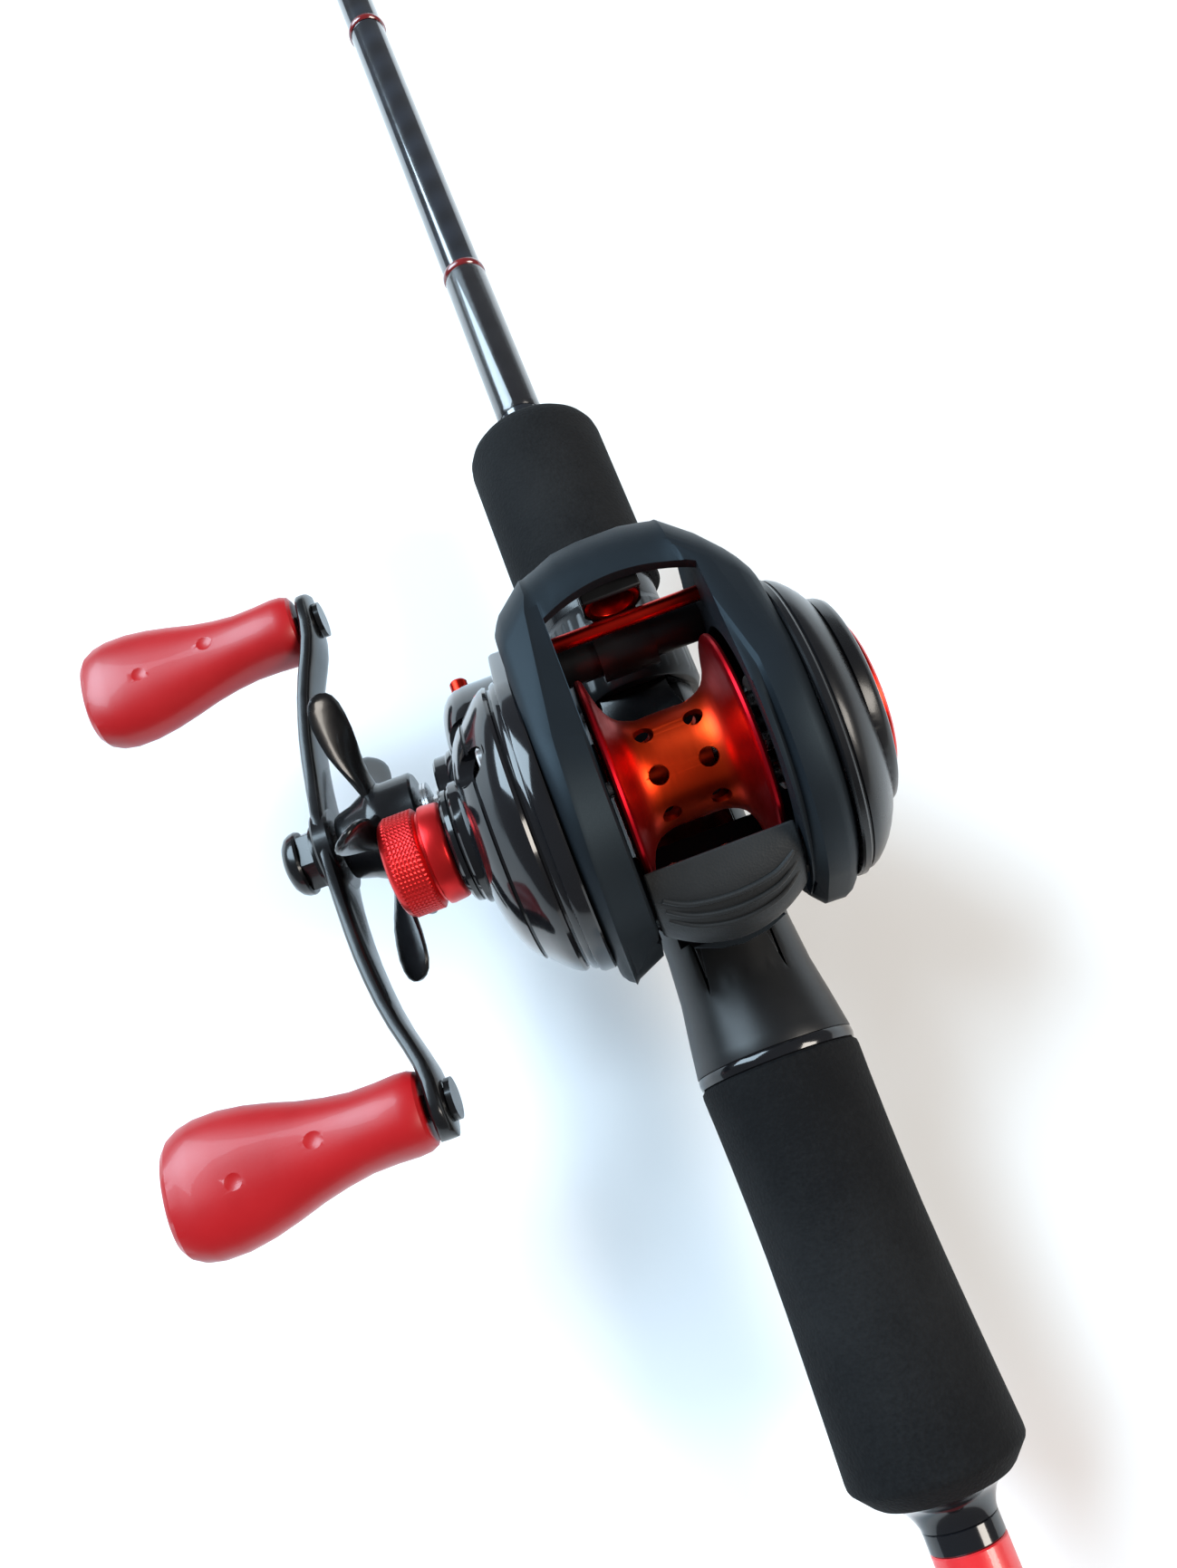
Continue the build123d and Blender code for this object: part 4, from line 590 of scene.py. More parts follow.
def outline(discs, inset, sides=168):
    """Points round the hull of some discs, as (y, z)."""
    points = []
    for step in range(sides):
        angle = 2 * math.pi * step / sides
        y, z = math.cos(angle), math.sin(angle)
        disc = max(discs, key=lambda d: d[0] * y + d[1] * z + d[2])
        points.append((disc[0] + (disc[2] - inset) * y, disc[1] + (disc[2] - inset) * z))
    return points


def crease_x(left, y):
    """Place across the reel of the crease on a side band."""
    run = min(0.93, (y - AXIS_Y) / 28)
    sweep = max(0.0, run) ** 3
    return -15.1 + 1.2 * run + 2.6 * sweep if left else 14.0 - 1.3 * run * run - 3.4 * sweep


def between(table, x):
    """Value at x on the line through a table's points."""
    for (x0, y0), (x1, y1) in zip(table, table[1:]):
        if x <= x1 or (x1, y1) == table[-1]:
            return y0 + (y1 - y0) * min(1.0, max(0.0, (x - x0) / (x1 - x0)))


def plate_ring(place, inset, tail=0.0, round_off=0.0):
    """One ring of the frame's skin, at a place across the reel or along a crease."""
    creased, left = place in CREASE_SHIFT, str(place).startswith("left")
    shift = CREASE_SHIFT.get(place, 0.0)
    nose_x = crease_x(left, CREASE_NOSE_Y) + shift if creased else place
    nose = AXIS_Y + between(FRONT, nose_x) - NOSE_R
    discs = (BODY_DISC, (nose, NOSE_Z, NOSE_R), (TAIL_DISC[0] + tail, *TAIL_DISC[1:]))
    ring = []
    for (y, z), (y_in, z_in) in zip(outline(discs, inset), outline(discs, inset + round_off)):
        x = crease_x(left, y) + shift if creased else place
        rear = min(1.0, max(0.0, (REAR_Y - y) / REAR_EASE))
        ring.append((x, y + (y_in - y) * rear, z + (z_in - z) * rear))
    return ring


body = softened("frame", soft_touch, 0)
skin = skinned("frame_envelope", [plate_ring(*station) for station in SKIN])
eased(cut(body, skin, "INTERSECT", "EXACT"), 0.2, 30)


def lathe_x(name, stations, y, z, sides=128):
    """A turned piece on an axis along X at (y, z); a solid one is skinned through its rings."""
    if min(radius for place, radius in stations) > ON_AXIS:
        return turned(name, stations, "X", (0, y, z), sides)
    turns = [2 * math.pi * step / sides for step in range(sides)]
    rings = []
    for x, radius in stations[:-1] if stations[0] == stations[-1] else stations:
        if radius > ON_AXIS:
            rings.append([(x, y + radius * math.cos(turn), z + radius * math.sin(turn)) for turn in turns])
    return skinned(name, rings)


def peg(name, x0, x1, radius, y, z, sides=128):
    """A plain solid cylinder along X, to cut with or to join."""
    return lathe_x(name, [(x0, radius), (x1, radius), (x1, ON_AXIS)], y, z, sides)


seat = peg("flange_seat", FLANGE_SEAT_L, FLANGE_SEAT_R, FLANGE_SEAT_RADIUS, AXIS_Y, AXIS_Z, 160)
settled(cut(body, seat, solver="EXACT"))

# ---- Thumb bar: a bowed nylon moulding between the side plates, with three ridges for the thumb.
# An arm at each end slides in a slot of the plate and throws the clutch when it is pressed.
BAR_L, BAR_R = INNER_L + 0.4, INNER_R - 0.4
BAR_HALF, BAR_BOW, BAR_FORWARD = 11.1, 4.2, 2.2
# Places behind and above the spool's axis, and the share of the bow that each takes.
BAR_SECTION = ((-16.4, 9.2, 0.0), (-18.4, 8.75, 0.1), (-20.4, 7.8, 0.35), (-22.1, 6.2, 0.65),
               (-23.5, 4.2, 0.85), (-24.5, 2.0, 1.0), (-25.0, -0.5, 1.0), (-24.8, -3.4, 1.0),
               (-24.2, -4.0, 1.0), (-21.4, -4.0, 0.8), (-20.9, -3.0, 0.0), (-20.8, 0.6, 0.0),
               (-19.4, 3.4, 0.0), (-18.2, 4.8, 0.0), (-16.6, 7.0, 0.0))
BAR_STEPS = 24
RIDGES = ((-21.7, 6.9, 0.6), (-22.9, 5.4, 0.78), (-23.95, 3.7, 0.92))
RIDGE_X = (-7.8, -6.5, -3, 1, 5, 8.5, 9.8)
RIDGE_L, RIDGE_R, RIDGE_THICK = -8.6, 10.6, 0.42


def bar_grain_look(place):
    cell = place.cells(0.35)
    cloud = place.noise(7.0, 3.0)
    return {"Base Color": cloud.tint((0.010, 0.0105, 0.011), (0.020, 0.021, 0.022)),
            "Roughness": cloud * 0.16 + 0.40, "height": (cell, 0.05, 0.45)}


def bowed(x, weight):
    """How far the bar's rear face stands back at x."""
    side = (x - MID_X) / BAR_HALF
    return weight * (BAR_BOW * side * side - BAR_FORWARD)


def slab(middle, size, corner, segments=3):
    """A block with rounded edges, in mm."""
    alone()
    bpy.ops.mesh.primitive_cube_add(size=1, location=Vector(middle) * MM, scale=Vector(size) * MM)
    return eased(settled(bpy.context.object), corner, segments=segments)


rings = []
for step in range(BAR_STEPS + 1):
    x = BAR_L + (BAR_R - BAR_L) * step / BAR_STEPS
    rings.append([(x, AXIS_Y + y + bowed(x, weight), AXIS_Z + z) for y, z, weight in BAR_SECTION])
parts = [eased(skinned("thumb_bar_moulding", rings), 0.5, 40, 3)]
for y, z, weight in RIDGES:
    line = [(x, AXIS_Y + y + bowed(x, weight), AXIS_Z + z) for x in RIDGE_X]
    line[0] = (RIDGE_L, line[0][1] + 1.0, line[0][2] + 0.3)
    line[-1] = (RIDGE_R, line[-1][1] + 1.3, line[-1][2] + 0.5)
    parts.append(wire("ridge", line, RIDGE_THICK))
for x0, x1 in ((INNER_L - 2.1, BAR_L + 3.0), (BAR_R - 3.0, INNER_R + 2.1)):
    parts.append(slab(((x0 + x1) / 2, AXIS_Y - 19.9, AXIS_Z - 0.9), (x1 - x0, 3.0, 5.0), 0.3, 2))
bar_look = finish("thumb_bar_grain", bar_grain_look, Specular_IOR_Level=0.25)
shown(joined("thumb_bar_finished", parts), bar_look, "thumb", "soft_black", "thumb_bar")

# ---- Spool: turned and drilled aluminium, anodised orange-red on the arbor and crimson on its flanges, painted darker
# # towards the flanges as shade where the fillets turn away from the light. A web inside the thin shell holds
# it on its shaft, which runs in ball bearings.
SPOOL_L, SPOOL_R = -9.7, 11.7
# Distance in from each end, and radius: the outside first, then the mouth of the shell.
FLANK = ((0.0, 16.4), (0.25, 16.85), (0.6, 17.0), (1.0, 16.9), (1.25, 16.6), (1.5, 15.6), (1.85, 13.9),
         (2.3, 12.4), (2.9, 11.0), (3.6, 10.0), (4.4, 9.35), (5.4, 8.9), (6.6, 8.6), (8.2, 8.5))
MOUTH = ((0.0, 9.4), (3.35, 9.4), (5.2, 7.7))
WEB = [(-4, 1.26), (-4, 3.4), (0, 3.4), (0, 8.1), (2, 8.1), (2, 3.4), (6, 3.4), (6, 1.26), (-4, 1.26)]
ARBOR_R, HOLE_R, HOLE_PITCH, HOLES = 8.5, 1.5, 7.6, 8


def red_anodised_look(low, high, rough):
    def look(place):
        turning = place.grown(4.0, 0.2, 0.2).noise(0.6, 2.0)
        cloud = place.noise(8.0, 2.0)
        return {"Base Color": cloud.tint(low, high), "Roughness": turning * 0.14 + rough,
                "height": (turning, 0.012, 0.25)}
    return look


def spool_look(place):
    """Orange-red in the middle, deeper red towards the flanges: the flanges' own crimson together with
    painted shade on the fillets.
    """
    x, y, z = place.axes()
    turning = place.grown(4.0, 0.2, 0.2).noise(0.6, 2.0)
    cloud = place.noise(8.0, 2.0)
    reach = place.sum("ABSOLUTE", x - MID_X * MM) * 1000.0
    # Mask and darker red: painted shade over the fillets towards the flanges, together with the flanges' own
    # crimson.
    edge = (reach * 0.1 + cloud * 0.1).ramp((0.55, 0.0), (1.0, 1.0))
    warm = cloud.tint((0.58, 0.030, 0.006), (0.70, 0.052, 0.008))
    shaded_crimson = cloud.tint((0.42, 0.006, 0.012), (0.55, 0.010, 0.020))
    return {"Base Color": edge.blend(warm, shaded_crimson), "Roughness": turning * 0.14 + 0.32,
            "height": (turning, 0.012, 0.25)}


profile = [(SPOOL_L + x, r) for x, r in FLANK] + [(SPOOL_R - x, r) for x, r in FLANK[::-1]]
profile += [(SPOOL_R - x, r) for x, r in MOUTH] + [(SPOOL_L + x, r) for x, r in MOUTH[::-1]]
spool = lathe_x("spool_drilled", profile + profile[:1], AXIS_Y, AXIS_Z, 144)
drills = []
for count in range(HOLES):
    turn = 2 * math.pi * (count + 0.5) / HOLES
    for side in (-1, 1):
        alone()
        spot = Vector((MID_X + side * HOLE_PITCH / 2, AXIS_Y + ARBOR_R * math.cos(turn),
                       AXIS_Z + ARBOR_R * math.sin(turn)))
        bpy.ops.mesh.primitive_cylinder_add(vertices=40, radius=HOLE_R * MM, depth=4 * MM,
                                            location=spot * MM, rotation=(turn - math.pi / 2, 0, 0))
        drills.append(bpy.context.object)
cut(spool, joined("drills", drills))
parts = [eased(spool, 0.15, 50), lathe_x("web", WEB, AXIS_Y, AXIS_Z, 64)]
spool_red = finish("spool_red", spool_look, Metallic=1.0)
shown(joined("spool_drilled", parts), spool_red, "spool", "red_metal", "spool")

# ---- Cast-control cap: turned aluminium, anodised red and knurled for the fingers. It screws on
# the nose of the handle-side cover and presses on the end of the spool's shaft.
CAP_L, CAP_R = -44.4, -34.6
KNURL_L, KNURL_R, KNURL_BASE_R = -43.3, -38.9, 7.75
KNURLS, KNURL_SLOPE, KNURL_HIGH = 34, 5.2, 0.14
CAP_SIDES = 8 * KNURLS
CAP_PROFILE = [(CAP_R, 5.9), (CAP_R, 7.0), (-34.9, 7.35), (-35.3, 7.5), (-37.3, 7.7), (-37.8, 7.6),
               (-38.0, 7.2), (-38.1, 6.9), (-38.4, 6.9), (-38.5, 7.2), (-38.8, 7.65)]
CAP_PROFILE += [(-38.8 - 0.2 * step, KNURL_BASE_R) for step in range(1, 23)]
CAP_PROFILE += [(-43.4, 7.7), (-43.8, 7.5), (-44.2, 7.1), (CAP_L, 6.6), (CAP_L, 3.0), (-44.2, 2.6),
                (-44.2, 0.05), (-39.4, 0.05), (-39.4, 5.9)]


def knurl(x, turn):
    """Height of the diamonds on the cap's grip."""
    if not KNURL_L < x < KNURL_R:
        return 0.0
    one = math.sin(turn * KNURLS + x * KNURL_SLOPE)
    other = math.sin(turn * KNURLS - x * KNURL_SLOPE)
    return KNURL_HIGH * (abs(one) + abs(other) - 1.0)


rings = []
for x, radius in CAP_PROFILE:
    ring = []
    for step in range(CAP_SIDES):
        turn = 2 * math.pi * step / CAP_SIDES
        out = radius + (knurl(x, turn) if radius == KNURL_BASE_R else 0.0)
        ring.append((x, AXIS_Y + out * math.cos(turn), AXIS_Z + out * math.sin(turn)))
    rings.append(ring)
cap_red = finish("cap_red", red_anodised_look((0.52, 0.008, 0.010), (0.66, 0.016, 0.016), 0.26),
                 Metallic=0.75)
shown(skinned("cast_cap_knurled", rings), cap_red, "cap", "red_metal", "cast_control_cap")

# ---- Level wind: a nylon carriage runs along the worm's guard and a red anodised rail, and carries
# the hard line eye. Dark plates over the eye and in front of it keep the line down in it.
PLATES = (((0, 264.0, 42.6), (9.0, 2.6, 0.8)), ((0, 268.6, 34.6), (9.0, 1.2, 6.0)))
red_metal = finish("red_anodised", red_anodised_look((0.50, 0.010, 0.006), (0.64, 0.022, 0.010), 0.24),
                   Metallic=1.0)
dark_nylon = finish("dark_nylon", metal_look((0.004, 0.004, 0.0045), (0.010, 0.010, 0.011), 0.34),
                    Specular_IOR_Level=0.35)
softened("guide_rail", red_metal, 0.1)
softened("line_eye", red_metal, 0.15)
softened("worm_guard", dark_nylon, 0.08)
parts = [softened("line_guide", dark_nylon, 0.2)]
for middle, size in PLATES:
    parts.append(slab(middle, size, 0.3))
    parts[-1].data.materials.append(dark_nylon)
joined("line_guide_finished", parts)

# ---- Handle-side cover: a glossy moulded dome over the gears, with a nose for the cast-control cap
# and a boss for the drive shaft. Three sunk screws hold it on the frame, and a small red oil
# plug closes its front.
BODY_Y, BODY_Z = 239.5, 25.0
DRIVE_Y, DRIVE_Z = 251.0, 15.501
BODY_AT, DRIVE_AT, AXIS_AT = (BODY_Y, BODY_Z), (DRIVE_Y, DRIVE_Z), (AXIS_Y, AXIS_Z)
OUTER_L, FACE_L, BACK_L = -18.0, -31.5, -18.5
COVER_DISCS = ((*BODY_AT, 23.7), (*DRIVE_AT, 18.6), (262.3, 27.5, 5.6))
COVER_LIP = ((OUTER_L, 0.2), (OUTER_L - 0.3, 0.0), (-19.9, 0.0), (-20.4, 0.25), (-20.6, 0.8))
DOME = [(BACK_L, 23.0), (-20.4, 23.0), (-21.1, 22.9), (-21.5, 22.6), (-21.6, 22.1), (-21.9, 22.1),
        (-22.1, 22.5), (-22.6, 22.7), (-23.2, 22.5), (-24.2, 21.9), (-25.3, 20.9), (-26.4, 19.8),
        (-26.9, 19.3), (-27.0, 18.8), (-27.3, 18.8), (-27.5, 19.0), (-28.3, 18.2), (-29.3, 16.8),
        (-30.2, 15.0), (-30.9, 12.9), (-31.3, 11.0), (FACE_L, 9.6), (FACE_L, ON_AXIS)]
DRUM = [(BACK_L, 18.0), (-26.2, 18.0), (-27.6, 17.8), (-28.8, 17.2), (-29.8, 16.2), (-30.5, 14.9),
        (-30.9, 13.4), (-31.1, 11.5), (-31.1, ON_AXIS)]
NOSE = [(-30, 9.6), (-32.2, 9.5), (-32.5, 9.2), (-32.5, 8.6), (-32.8, 8.6), (-33.0, 8.8), (-33.7, 8.7),
        (-34.1, 8.3), (-34.2, 7.8), (-34.2, 5.8), (-38.4, 5.8), (-38.5, 5.6), (-38.5, ON_AXIS)]
BOSS = [(-28, 9.6), (-31.2, 9.4), (-32.4, 9.0), (-32.8, 8.6), (-34.6, 8.6), (-35.0, 8.2), (-35.0, ON_AXIS)]
DOME_HOLLOW = [(-17.0, 21.4), (-20.4, 21.4), (-25.2, 18.9), (-28.4, 15.2), (-29.9, 11.0), (-29.9, ON_AXIS)]
DRUM_HOLLOW = [(-17.0, 16.4), (-26.0, 16.4), (-28.6, 15.0), (-29.5, 12.0), (-29.5, ON_AXIS)]
SCREW_SEATS = ((224.5, 14.5, -25.0), (245.0, 43.0, -24.6), (255.5, 33.0, -25.2))
PLUG_X, PLUG_Z = -27.2, 18.0
PLUG = [(268.4, ON_AXIS), (268.4, 1.5), (270.6, 1.5), (270.9, 1.3), (271.0, 1.0), (271.0, ON_AXIS)]

rings = []
for x, inset in COVER_LIP:
    rings.append([(x, y, z) for y, z in outline(COVER_DISCS, inset, 144)])
cover = skinned("handle_cover_shell", rings)
for stations, spot in ((DOME, BODY_AT), (DRUM, DRIVE_AT), (NOSE, AXIS_AT), (BOSS, DRIVE_AT)):
    cut(cover, lathe_x("part", stations, *spot), "UNION")
for stations, spot in ((DOME_HOLLOW, BODY_AT), (DRUM_HOLLOW, DRIVE_AT)):
    cut(cover, lathe_x("hollow", stations, *spot))
cut(cover, peg("shaft_hole", -20.0, -37.0, 4.6, *DRIVE_AT))
cut(cover, peg("nose_hole", -20.0, -39.5, 2.9, *AXIS_AT))
for y, z, seat in SCREW_SEATS:
    cut(cover, peg("post", -18.6, seat, 2.9, y, z, 40), "UNION")
    bore = [(-17, 1.36), (seat, 1.36), (seat, 2.5), (-33, 2.5), (-33, ON_AXIS)]
    cut(cover, lathe_x("bore", bore, y, z, 40))
shown(eased(cover, 0.12, 40), gloss, "rod", "gloss_black", "handle_side_cover")
plug = turned("oil_plug_red", PLUG, centre=(PLUG_X, 0, PLUG_Z), sides=40)
shown(plug, red_metal, "rod", "gloss_black", "handle_side_cover")

# ---- Palm-side cover: a satin-glossy moulded dome, cut off flat above the seat. A boss inside it
# holds the spool's bearing and a round recess outside it takes the brake dial.
FACE_R, PALM_FLAT_Z, HOLLOW_FLAT_Z = 29.0, 10.4, 12.0
PALM = [(20.0, 22.7), (20.1, 23.3), (20.4, 23.6), (21.2, 23.6), (21.5, 23.3), (21.55, 22.9), (21.8, 22.9),
        (21.95, 23.1), (22.5, 23.0), (23.4, 22.5), (24.4, 21.6), (25.4, 20.5), (26.3, 19.2), (27.1, 17.8),
        (27.7, 16.4), (28.0, 15.4), (28.0, ON_AXIS)]
PALM_HOLLOW = [(19.0, 21.9), (21.0, 21.9), (23.6, 19.8), (25.4, 17.4), (26.2, 15.0), (26.2, ON_AXIS)]
DIAL_SEAT = [(26.4, 16.6), (27.8, 16.3), (28.6, 15.8), (28.9, 15.2), (FACE_R, 14.6), (FACE_R, 12.8),
             (27.6, 12.8), (27.6, ON_AXIS)]
BEARING_BOSS = [(13.0, 4.6), (27.0, 4.6), (27.0, 2.2), (18.0, 2.2), (18.0, 1.65), (15.85, 1.65),
                (15.85, 3.62), (13.0, 3.62), (13.0, 4.6)]


def trimmed(piece, height):
    """Cut a piece off flat below a height in mm."""
    alone(piece)
    bpy.ops.object.mode_set(mode="EDIT")
    bpy.ops.mesh.select_all(action="SELECT")
    bpy.ops.mesh.bisect(plane_co=(0, 0, height * MM), plane_no=(0, 0, 1), use_fill=True, clear_inner=True)
    bpy.ops.object.mode_set(mode="OBJECT")
    return settled(piece)


cover = trimmed(lathe_x("palm_cover_shell", PALM, *BODY_AT), PALM_FLAT_Z)
cut(cover, lathe_x("seat", DIAL_SEAT, *AXIS_AT), "UNION")
cut(cover, peg("recess", 27.6, 31, 12.8, *AXIS_AT))
cut(cover, trimmed(lathe_x("hollow", PALM_HOLLOW, *BODY_AT), HOLLOW_FLAT_Z))
cut(cover, peg("stem_hole", 12, 31, 2.2, *AXIS_AT))
soft_gloss = finish("soft_gloss_black", metal_look((0.003, 0.003, 0.0035), (0.008, 0.008, 0.009), 0.20, 9.0),
                    Specular_IOR_Level=0.26, Coat_Weight=0.1, Coat_Roughness=0.12)
parts = [eased(cover, 0.12, 40), lathe_x("boss", BEARING_BOSS, *AXIS_AT, 64)]
shown(joined("palm_cover_shell", parts), soft_gloss, "rod", "gloss_black", "palm_side_cover")

# ---- Brake dial: a black turned disc with a thumb bar across its face and a stem to the magnets,
# and a red anodised ring pressed round it. It clicks round in the palm-side cover.
DIAL = [(27.9, ON_AXIS), (27.9, 11.2), (29.7, 11.2), (30.2, 10.7), (30.3, 10.2), (29.9, 9.6),
        (29.7, 8.8), (29.7, ON_AXIS)]
DIAL_RING = [(28.0, 11.25), (28.0, 12.4), (29.4, 12.5), (30.0, 12.3), (30.3, 11.9), (30.2, 11.5),
             (29.8, 11.25), (28.0, 11.25)]
parts = [lathe_x("dial", DIAL, *AXIS_AT), peg("stem", 20.5, 28.0, 2.0, *AXIS_AT, 32),
         slab((29.6, *AXIS_AT), (1.2, 17.0, 3.0), 0.5)]
shown(joined("brake_dial_face", parts), black_metal, "dial", "black_metal", "brake_dial")
ring = lathe_x("brake_dial_ring", DIAL_RING, *AXIS_AT)
shown(ring, red_metal, "dial", "black_metal", "brake_dial")

# ---- Handle arm: forged and bowed away from the reel at its middle, widest at the hub and at the
# knobs' spindles, and black anodised.
HUB_X = -53.7
HALF = 44.5
TILT = math.radians(-5.0)
END_R, ARM_THICK, SPINDLE_HOLE_R = 5.4, 1.5, 2.05
# Distance from the drive shaft, and how far the arm stands towards the reel or its half width.
SWEEP = ((0.0, 0.0), (9.0, 0.0), (15.0, 0.3), (21.0, 0.9), (27.0, 1.9), (32.0, 3.2), (36.5, 4.7),
         (40.0, 5.7), (43.0, 6.0), (60.0, 6.0))
WIDTH = ((0.0, 7.2), (4.0, 6.8), (8.0, 5.6), (13.0, 5.0), (22.0, 4.7), (31.0, 4.6), (37.0, 4.9),
         (41.0, 5.3), (44.5, 5.4), (60.0, 5.4))
HUB = [(HUB_X, 3.05), (HUB_X, 6.9), (HUB_X - 0.4, 7.3), (HUB_X - 2.6, 7.3), (HUB_X - 3.0, 6.9),
       (HUB_X - 3.0, 3.05), (HUB_X, 3.05)]


def cranked(x, y, z):
    """A point of the handle, drawn along +Y from the drive shaft, at the handle's angle."""
    c, s = math.cos(TILT), math.sin(TILT)
    return (x, DRIVE_Y + y * c - z * s, DRIVE_Z + y * s + z * c)


def soft_ring(half_a, half_b, sides=24, power=3.2):
    """Points round a soft-cornered section."""
    points = []
    for step in range(sides):
        turn = 2 * math.pi * step / sides
        c, s = math.cos(turn), math.sin(turn)
        points.append((half_a * math.copysign(abs(c) ** (2 / power), c),
                       half_b * math.copysign(abs(s) ** (2 / power), s)))
    return points


spots = [HALF + END_R * math.sin(math.radians(degrees)) for degrees in (88, 75, 60, 42, 25, 10)]
spots += [42, 39, 36, 32, 28, 24, 20, 16, 13, 10, 7.5, 5, 2.5]
rings = []
for y in [-spot for spot in spots] + [0.0] + spots[::-1]:
    far = abs(y)
    width = between(WIDTH, far) if far <= HALF else math.sqrt(max(0.04, END_R ** 2 - (far - HALF) ** 2))
    thick = ARM_THICK - 0.1 * min(1.0, far / 30)
    middle = HUB_X - ARM_THICK + between(SWEEP, far)
    rings.append([cranked(middle + a, y, b) for a, b in soft_ring(thick, width)])
arm = skinned("handle_arm_swept", rings)
hub = lathe_x("hub", HUB, *DRIVE_AT, 64)
cut(arm, peg("hole", -60, -50, 3.05, *DRIVE_AT, 48))
for hand in (-1, 1):
    cut(arm, peg("hole", -60, -40, SPINDLE_HOLE_R, *cranked(0, hand * HALF, 0)[1:], 32))
shown(joined("handle_arm_swept", [arm, hub]), black_metal, "crank", "black_metal", "handle_arm")

# ---- Star wheel: a forged hub with five twisted, leaf-shaped arms, black anodised. It screws along
# the drive shaft behind the handle arm and tightens the drag.
STAR_HUB = [(-39.2, 3.25), (-39.2, 7.6), (-39.6, 8.0), (-44.4, 8.0), (-44.9, 8.2), (-46.6, 8.2),
            (-47.4, 7.7), (-50.0, 6.3), (-52.4, 5.6), (-53.1, 5.2), (-53.2, 4.8), (-53.2, 3.25),
            (-39.2, 3.25)]
LEAVES, LEAF_X = 5, -45.9
# Distance from the shaft, half width, half thickness, stand-off outwards and twist in degrees.
LEAF = ((4.0, 3.4, 1.1, 0.0, 0), (7.4, 3.0, 1.1, 0.2, 8), (9.5, 2.6, 1.05, 0.7, 18),
        (11.5, 2.5, 1.0, 1.1, 30), (13.5, 2.7, 1.0, 1.4, 40), (15.5, 3.0, 0.95, 1.6, 48),
        (18.0, 3.2, 0.9, 1.7, 52), (20.5, 3.2, 0.85, 1.8, 54), (22.5, 2.9, 0.8, 1.8, 55),
        (23.9, 2.3, 0.7, 1.8, 55), (24.7, 1.5, 0.5, 1.8, 55), (25.0, 0.6, 0.3, 1.8, 55))
parts = [lathe_x("star_wheel", STAR_HUB, *DRIVE_AT, 64)]
for count in range(LEAVES):
    turn = 2 * math.pi * (count + 0.5) / LEAVES
    along = (math.cos(turn), math.sin(turn))
    rings = []
    for reach, half, thick, back, twist in LEAF:
        ring = []
        c, s = math.cos(math.radians(twist)), math.sin(math.radians(twist))
        for a, b in soft_ring(thick, half, 16, 2.6):
            a, b = a * c - b * s, a * s + b * c
            ring.append((LEAF_X - back + a, DRIVE_Y + reach * along[0] - b * along[1],
                         DRIVE_Z + reach * along[1] + b * along[0]))
        rings.append(ring)
    parts.append(skinned("leaf", rings))
shown(joined("star_wheel", parts), black_metal, "star", "black_metal", "star_drag")

# ---- Handle nut: it holds the arm on the end of the drive shaft, under a domed black cover that
# keeps it from turning.
RETAINER = [(-60.0, ON_AXIS), (-60.0, 5.2), (-60.4, 5.4), (-61.2, 5.3), (-62.0, 4.9), (-62.7, 4.0),
            (-63.1, 2.8), (-63.2, 1.6), (-63.0, 1.5), (-63.0, ON_AXIS)]
softened("handle_nut", black_metal, 0.2)
retainer = lathe_x("nut_retainer_domed", RETAINER, *DRIVE_AT, 64)
shown(retainer, black_metal, "crank", "black_metal", "nut_retainer")

# ---- Knobs: two moulded rubber paddles, round at the arm and flat at the end, with shallow
# dimples on both faces. Each spins on a black spindle that is riveted in the arm.
KNOB_X, KNOB_LONG = -51.2, 40
# Share of the length, half width along the rod and half height.
KNOB = ((0.0, 4.9, 4.9), (0.01, 5.6, 5.6), (0.035, 6.05, 6.0), (0.08, 6.2, 6.1), (0.16, 6.05, 5.8),
        (0.26, 6.1, 5.4), (0.36, 6.7, 5.2), (0.46, 7.6, 5.25), (0.56, 8.8, 5.5), (0.66, 9.8, 5.8),
        (0.76, 10.4, 6.1), (0.85, 10.4, 6.2), (0.91, 9.9, 6.0), (0.955, 8.9, 5.4), (0.98, 7.7, 4.6),
        (0.993, 6.3, 3.6), (1.0, 4.6, 2.4))
# Share of the length, place aside and height of each ball that presses a dimple.
DIMPLES = ((0.40, 0.8, 8.5), (0.70, -1.2, 9.25))
DIMPLE_BALL_R = 3.6


def knob_look(place):
    cloud = place.noise(9.0, 3.0)
    grain = place.noise(0.4, 3.0)
    return {"Base Color": cloud.tint((0.30, 0.0025, 0.005), (0.40, 0.006, 0.009)),
            "Roughness": cloud * 0.12 + grain * 0.06 + 0.30, "height": (grain, 0.02, 0.3)}


knob_red = finish("knob_red", knob_look, Specular_IOR_Level=0.4, Coat_Weight=0.08)
for name, hand in (("knob_front", 1), ("knob_rear", -1)):
    x, y, z = cranked(0, hand * HALF, 0)
    rings = []
    for share, half_y, half_z in KNOB:
        section = soft_ring(half_y, half_z, 64, 2.25)
        rings.append([(KNOB_X - KNOB_LONG * share, y + a, z + b) for a, b in section])
    knob = skinned(f"{name}_paddle", rings)
    cut(knob, peg("bore", -88, -50, 2.1, y, z, 32))
    for share, aside, height in DIMPLES:
        for up in (-1, 1):
            alone()
            spot = Vector((KNOB_X - KNOB_LONG * share, y + aside, z + up * height)) * MM
            bpy.ops.mesh.primitive_uv_sphere_add(segments=48, ring_count=24, radius=DIMPLE_BALL_R * MM,
                                                 location=spot)
            cut(knob, bpy.context.object)
    shown(eased(knob, 0.4, 20, 3), knob_red, name, "red_grip", name)

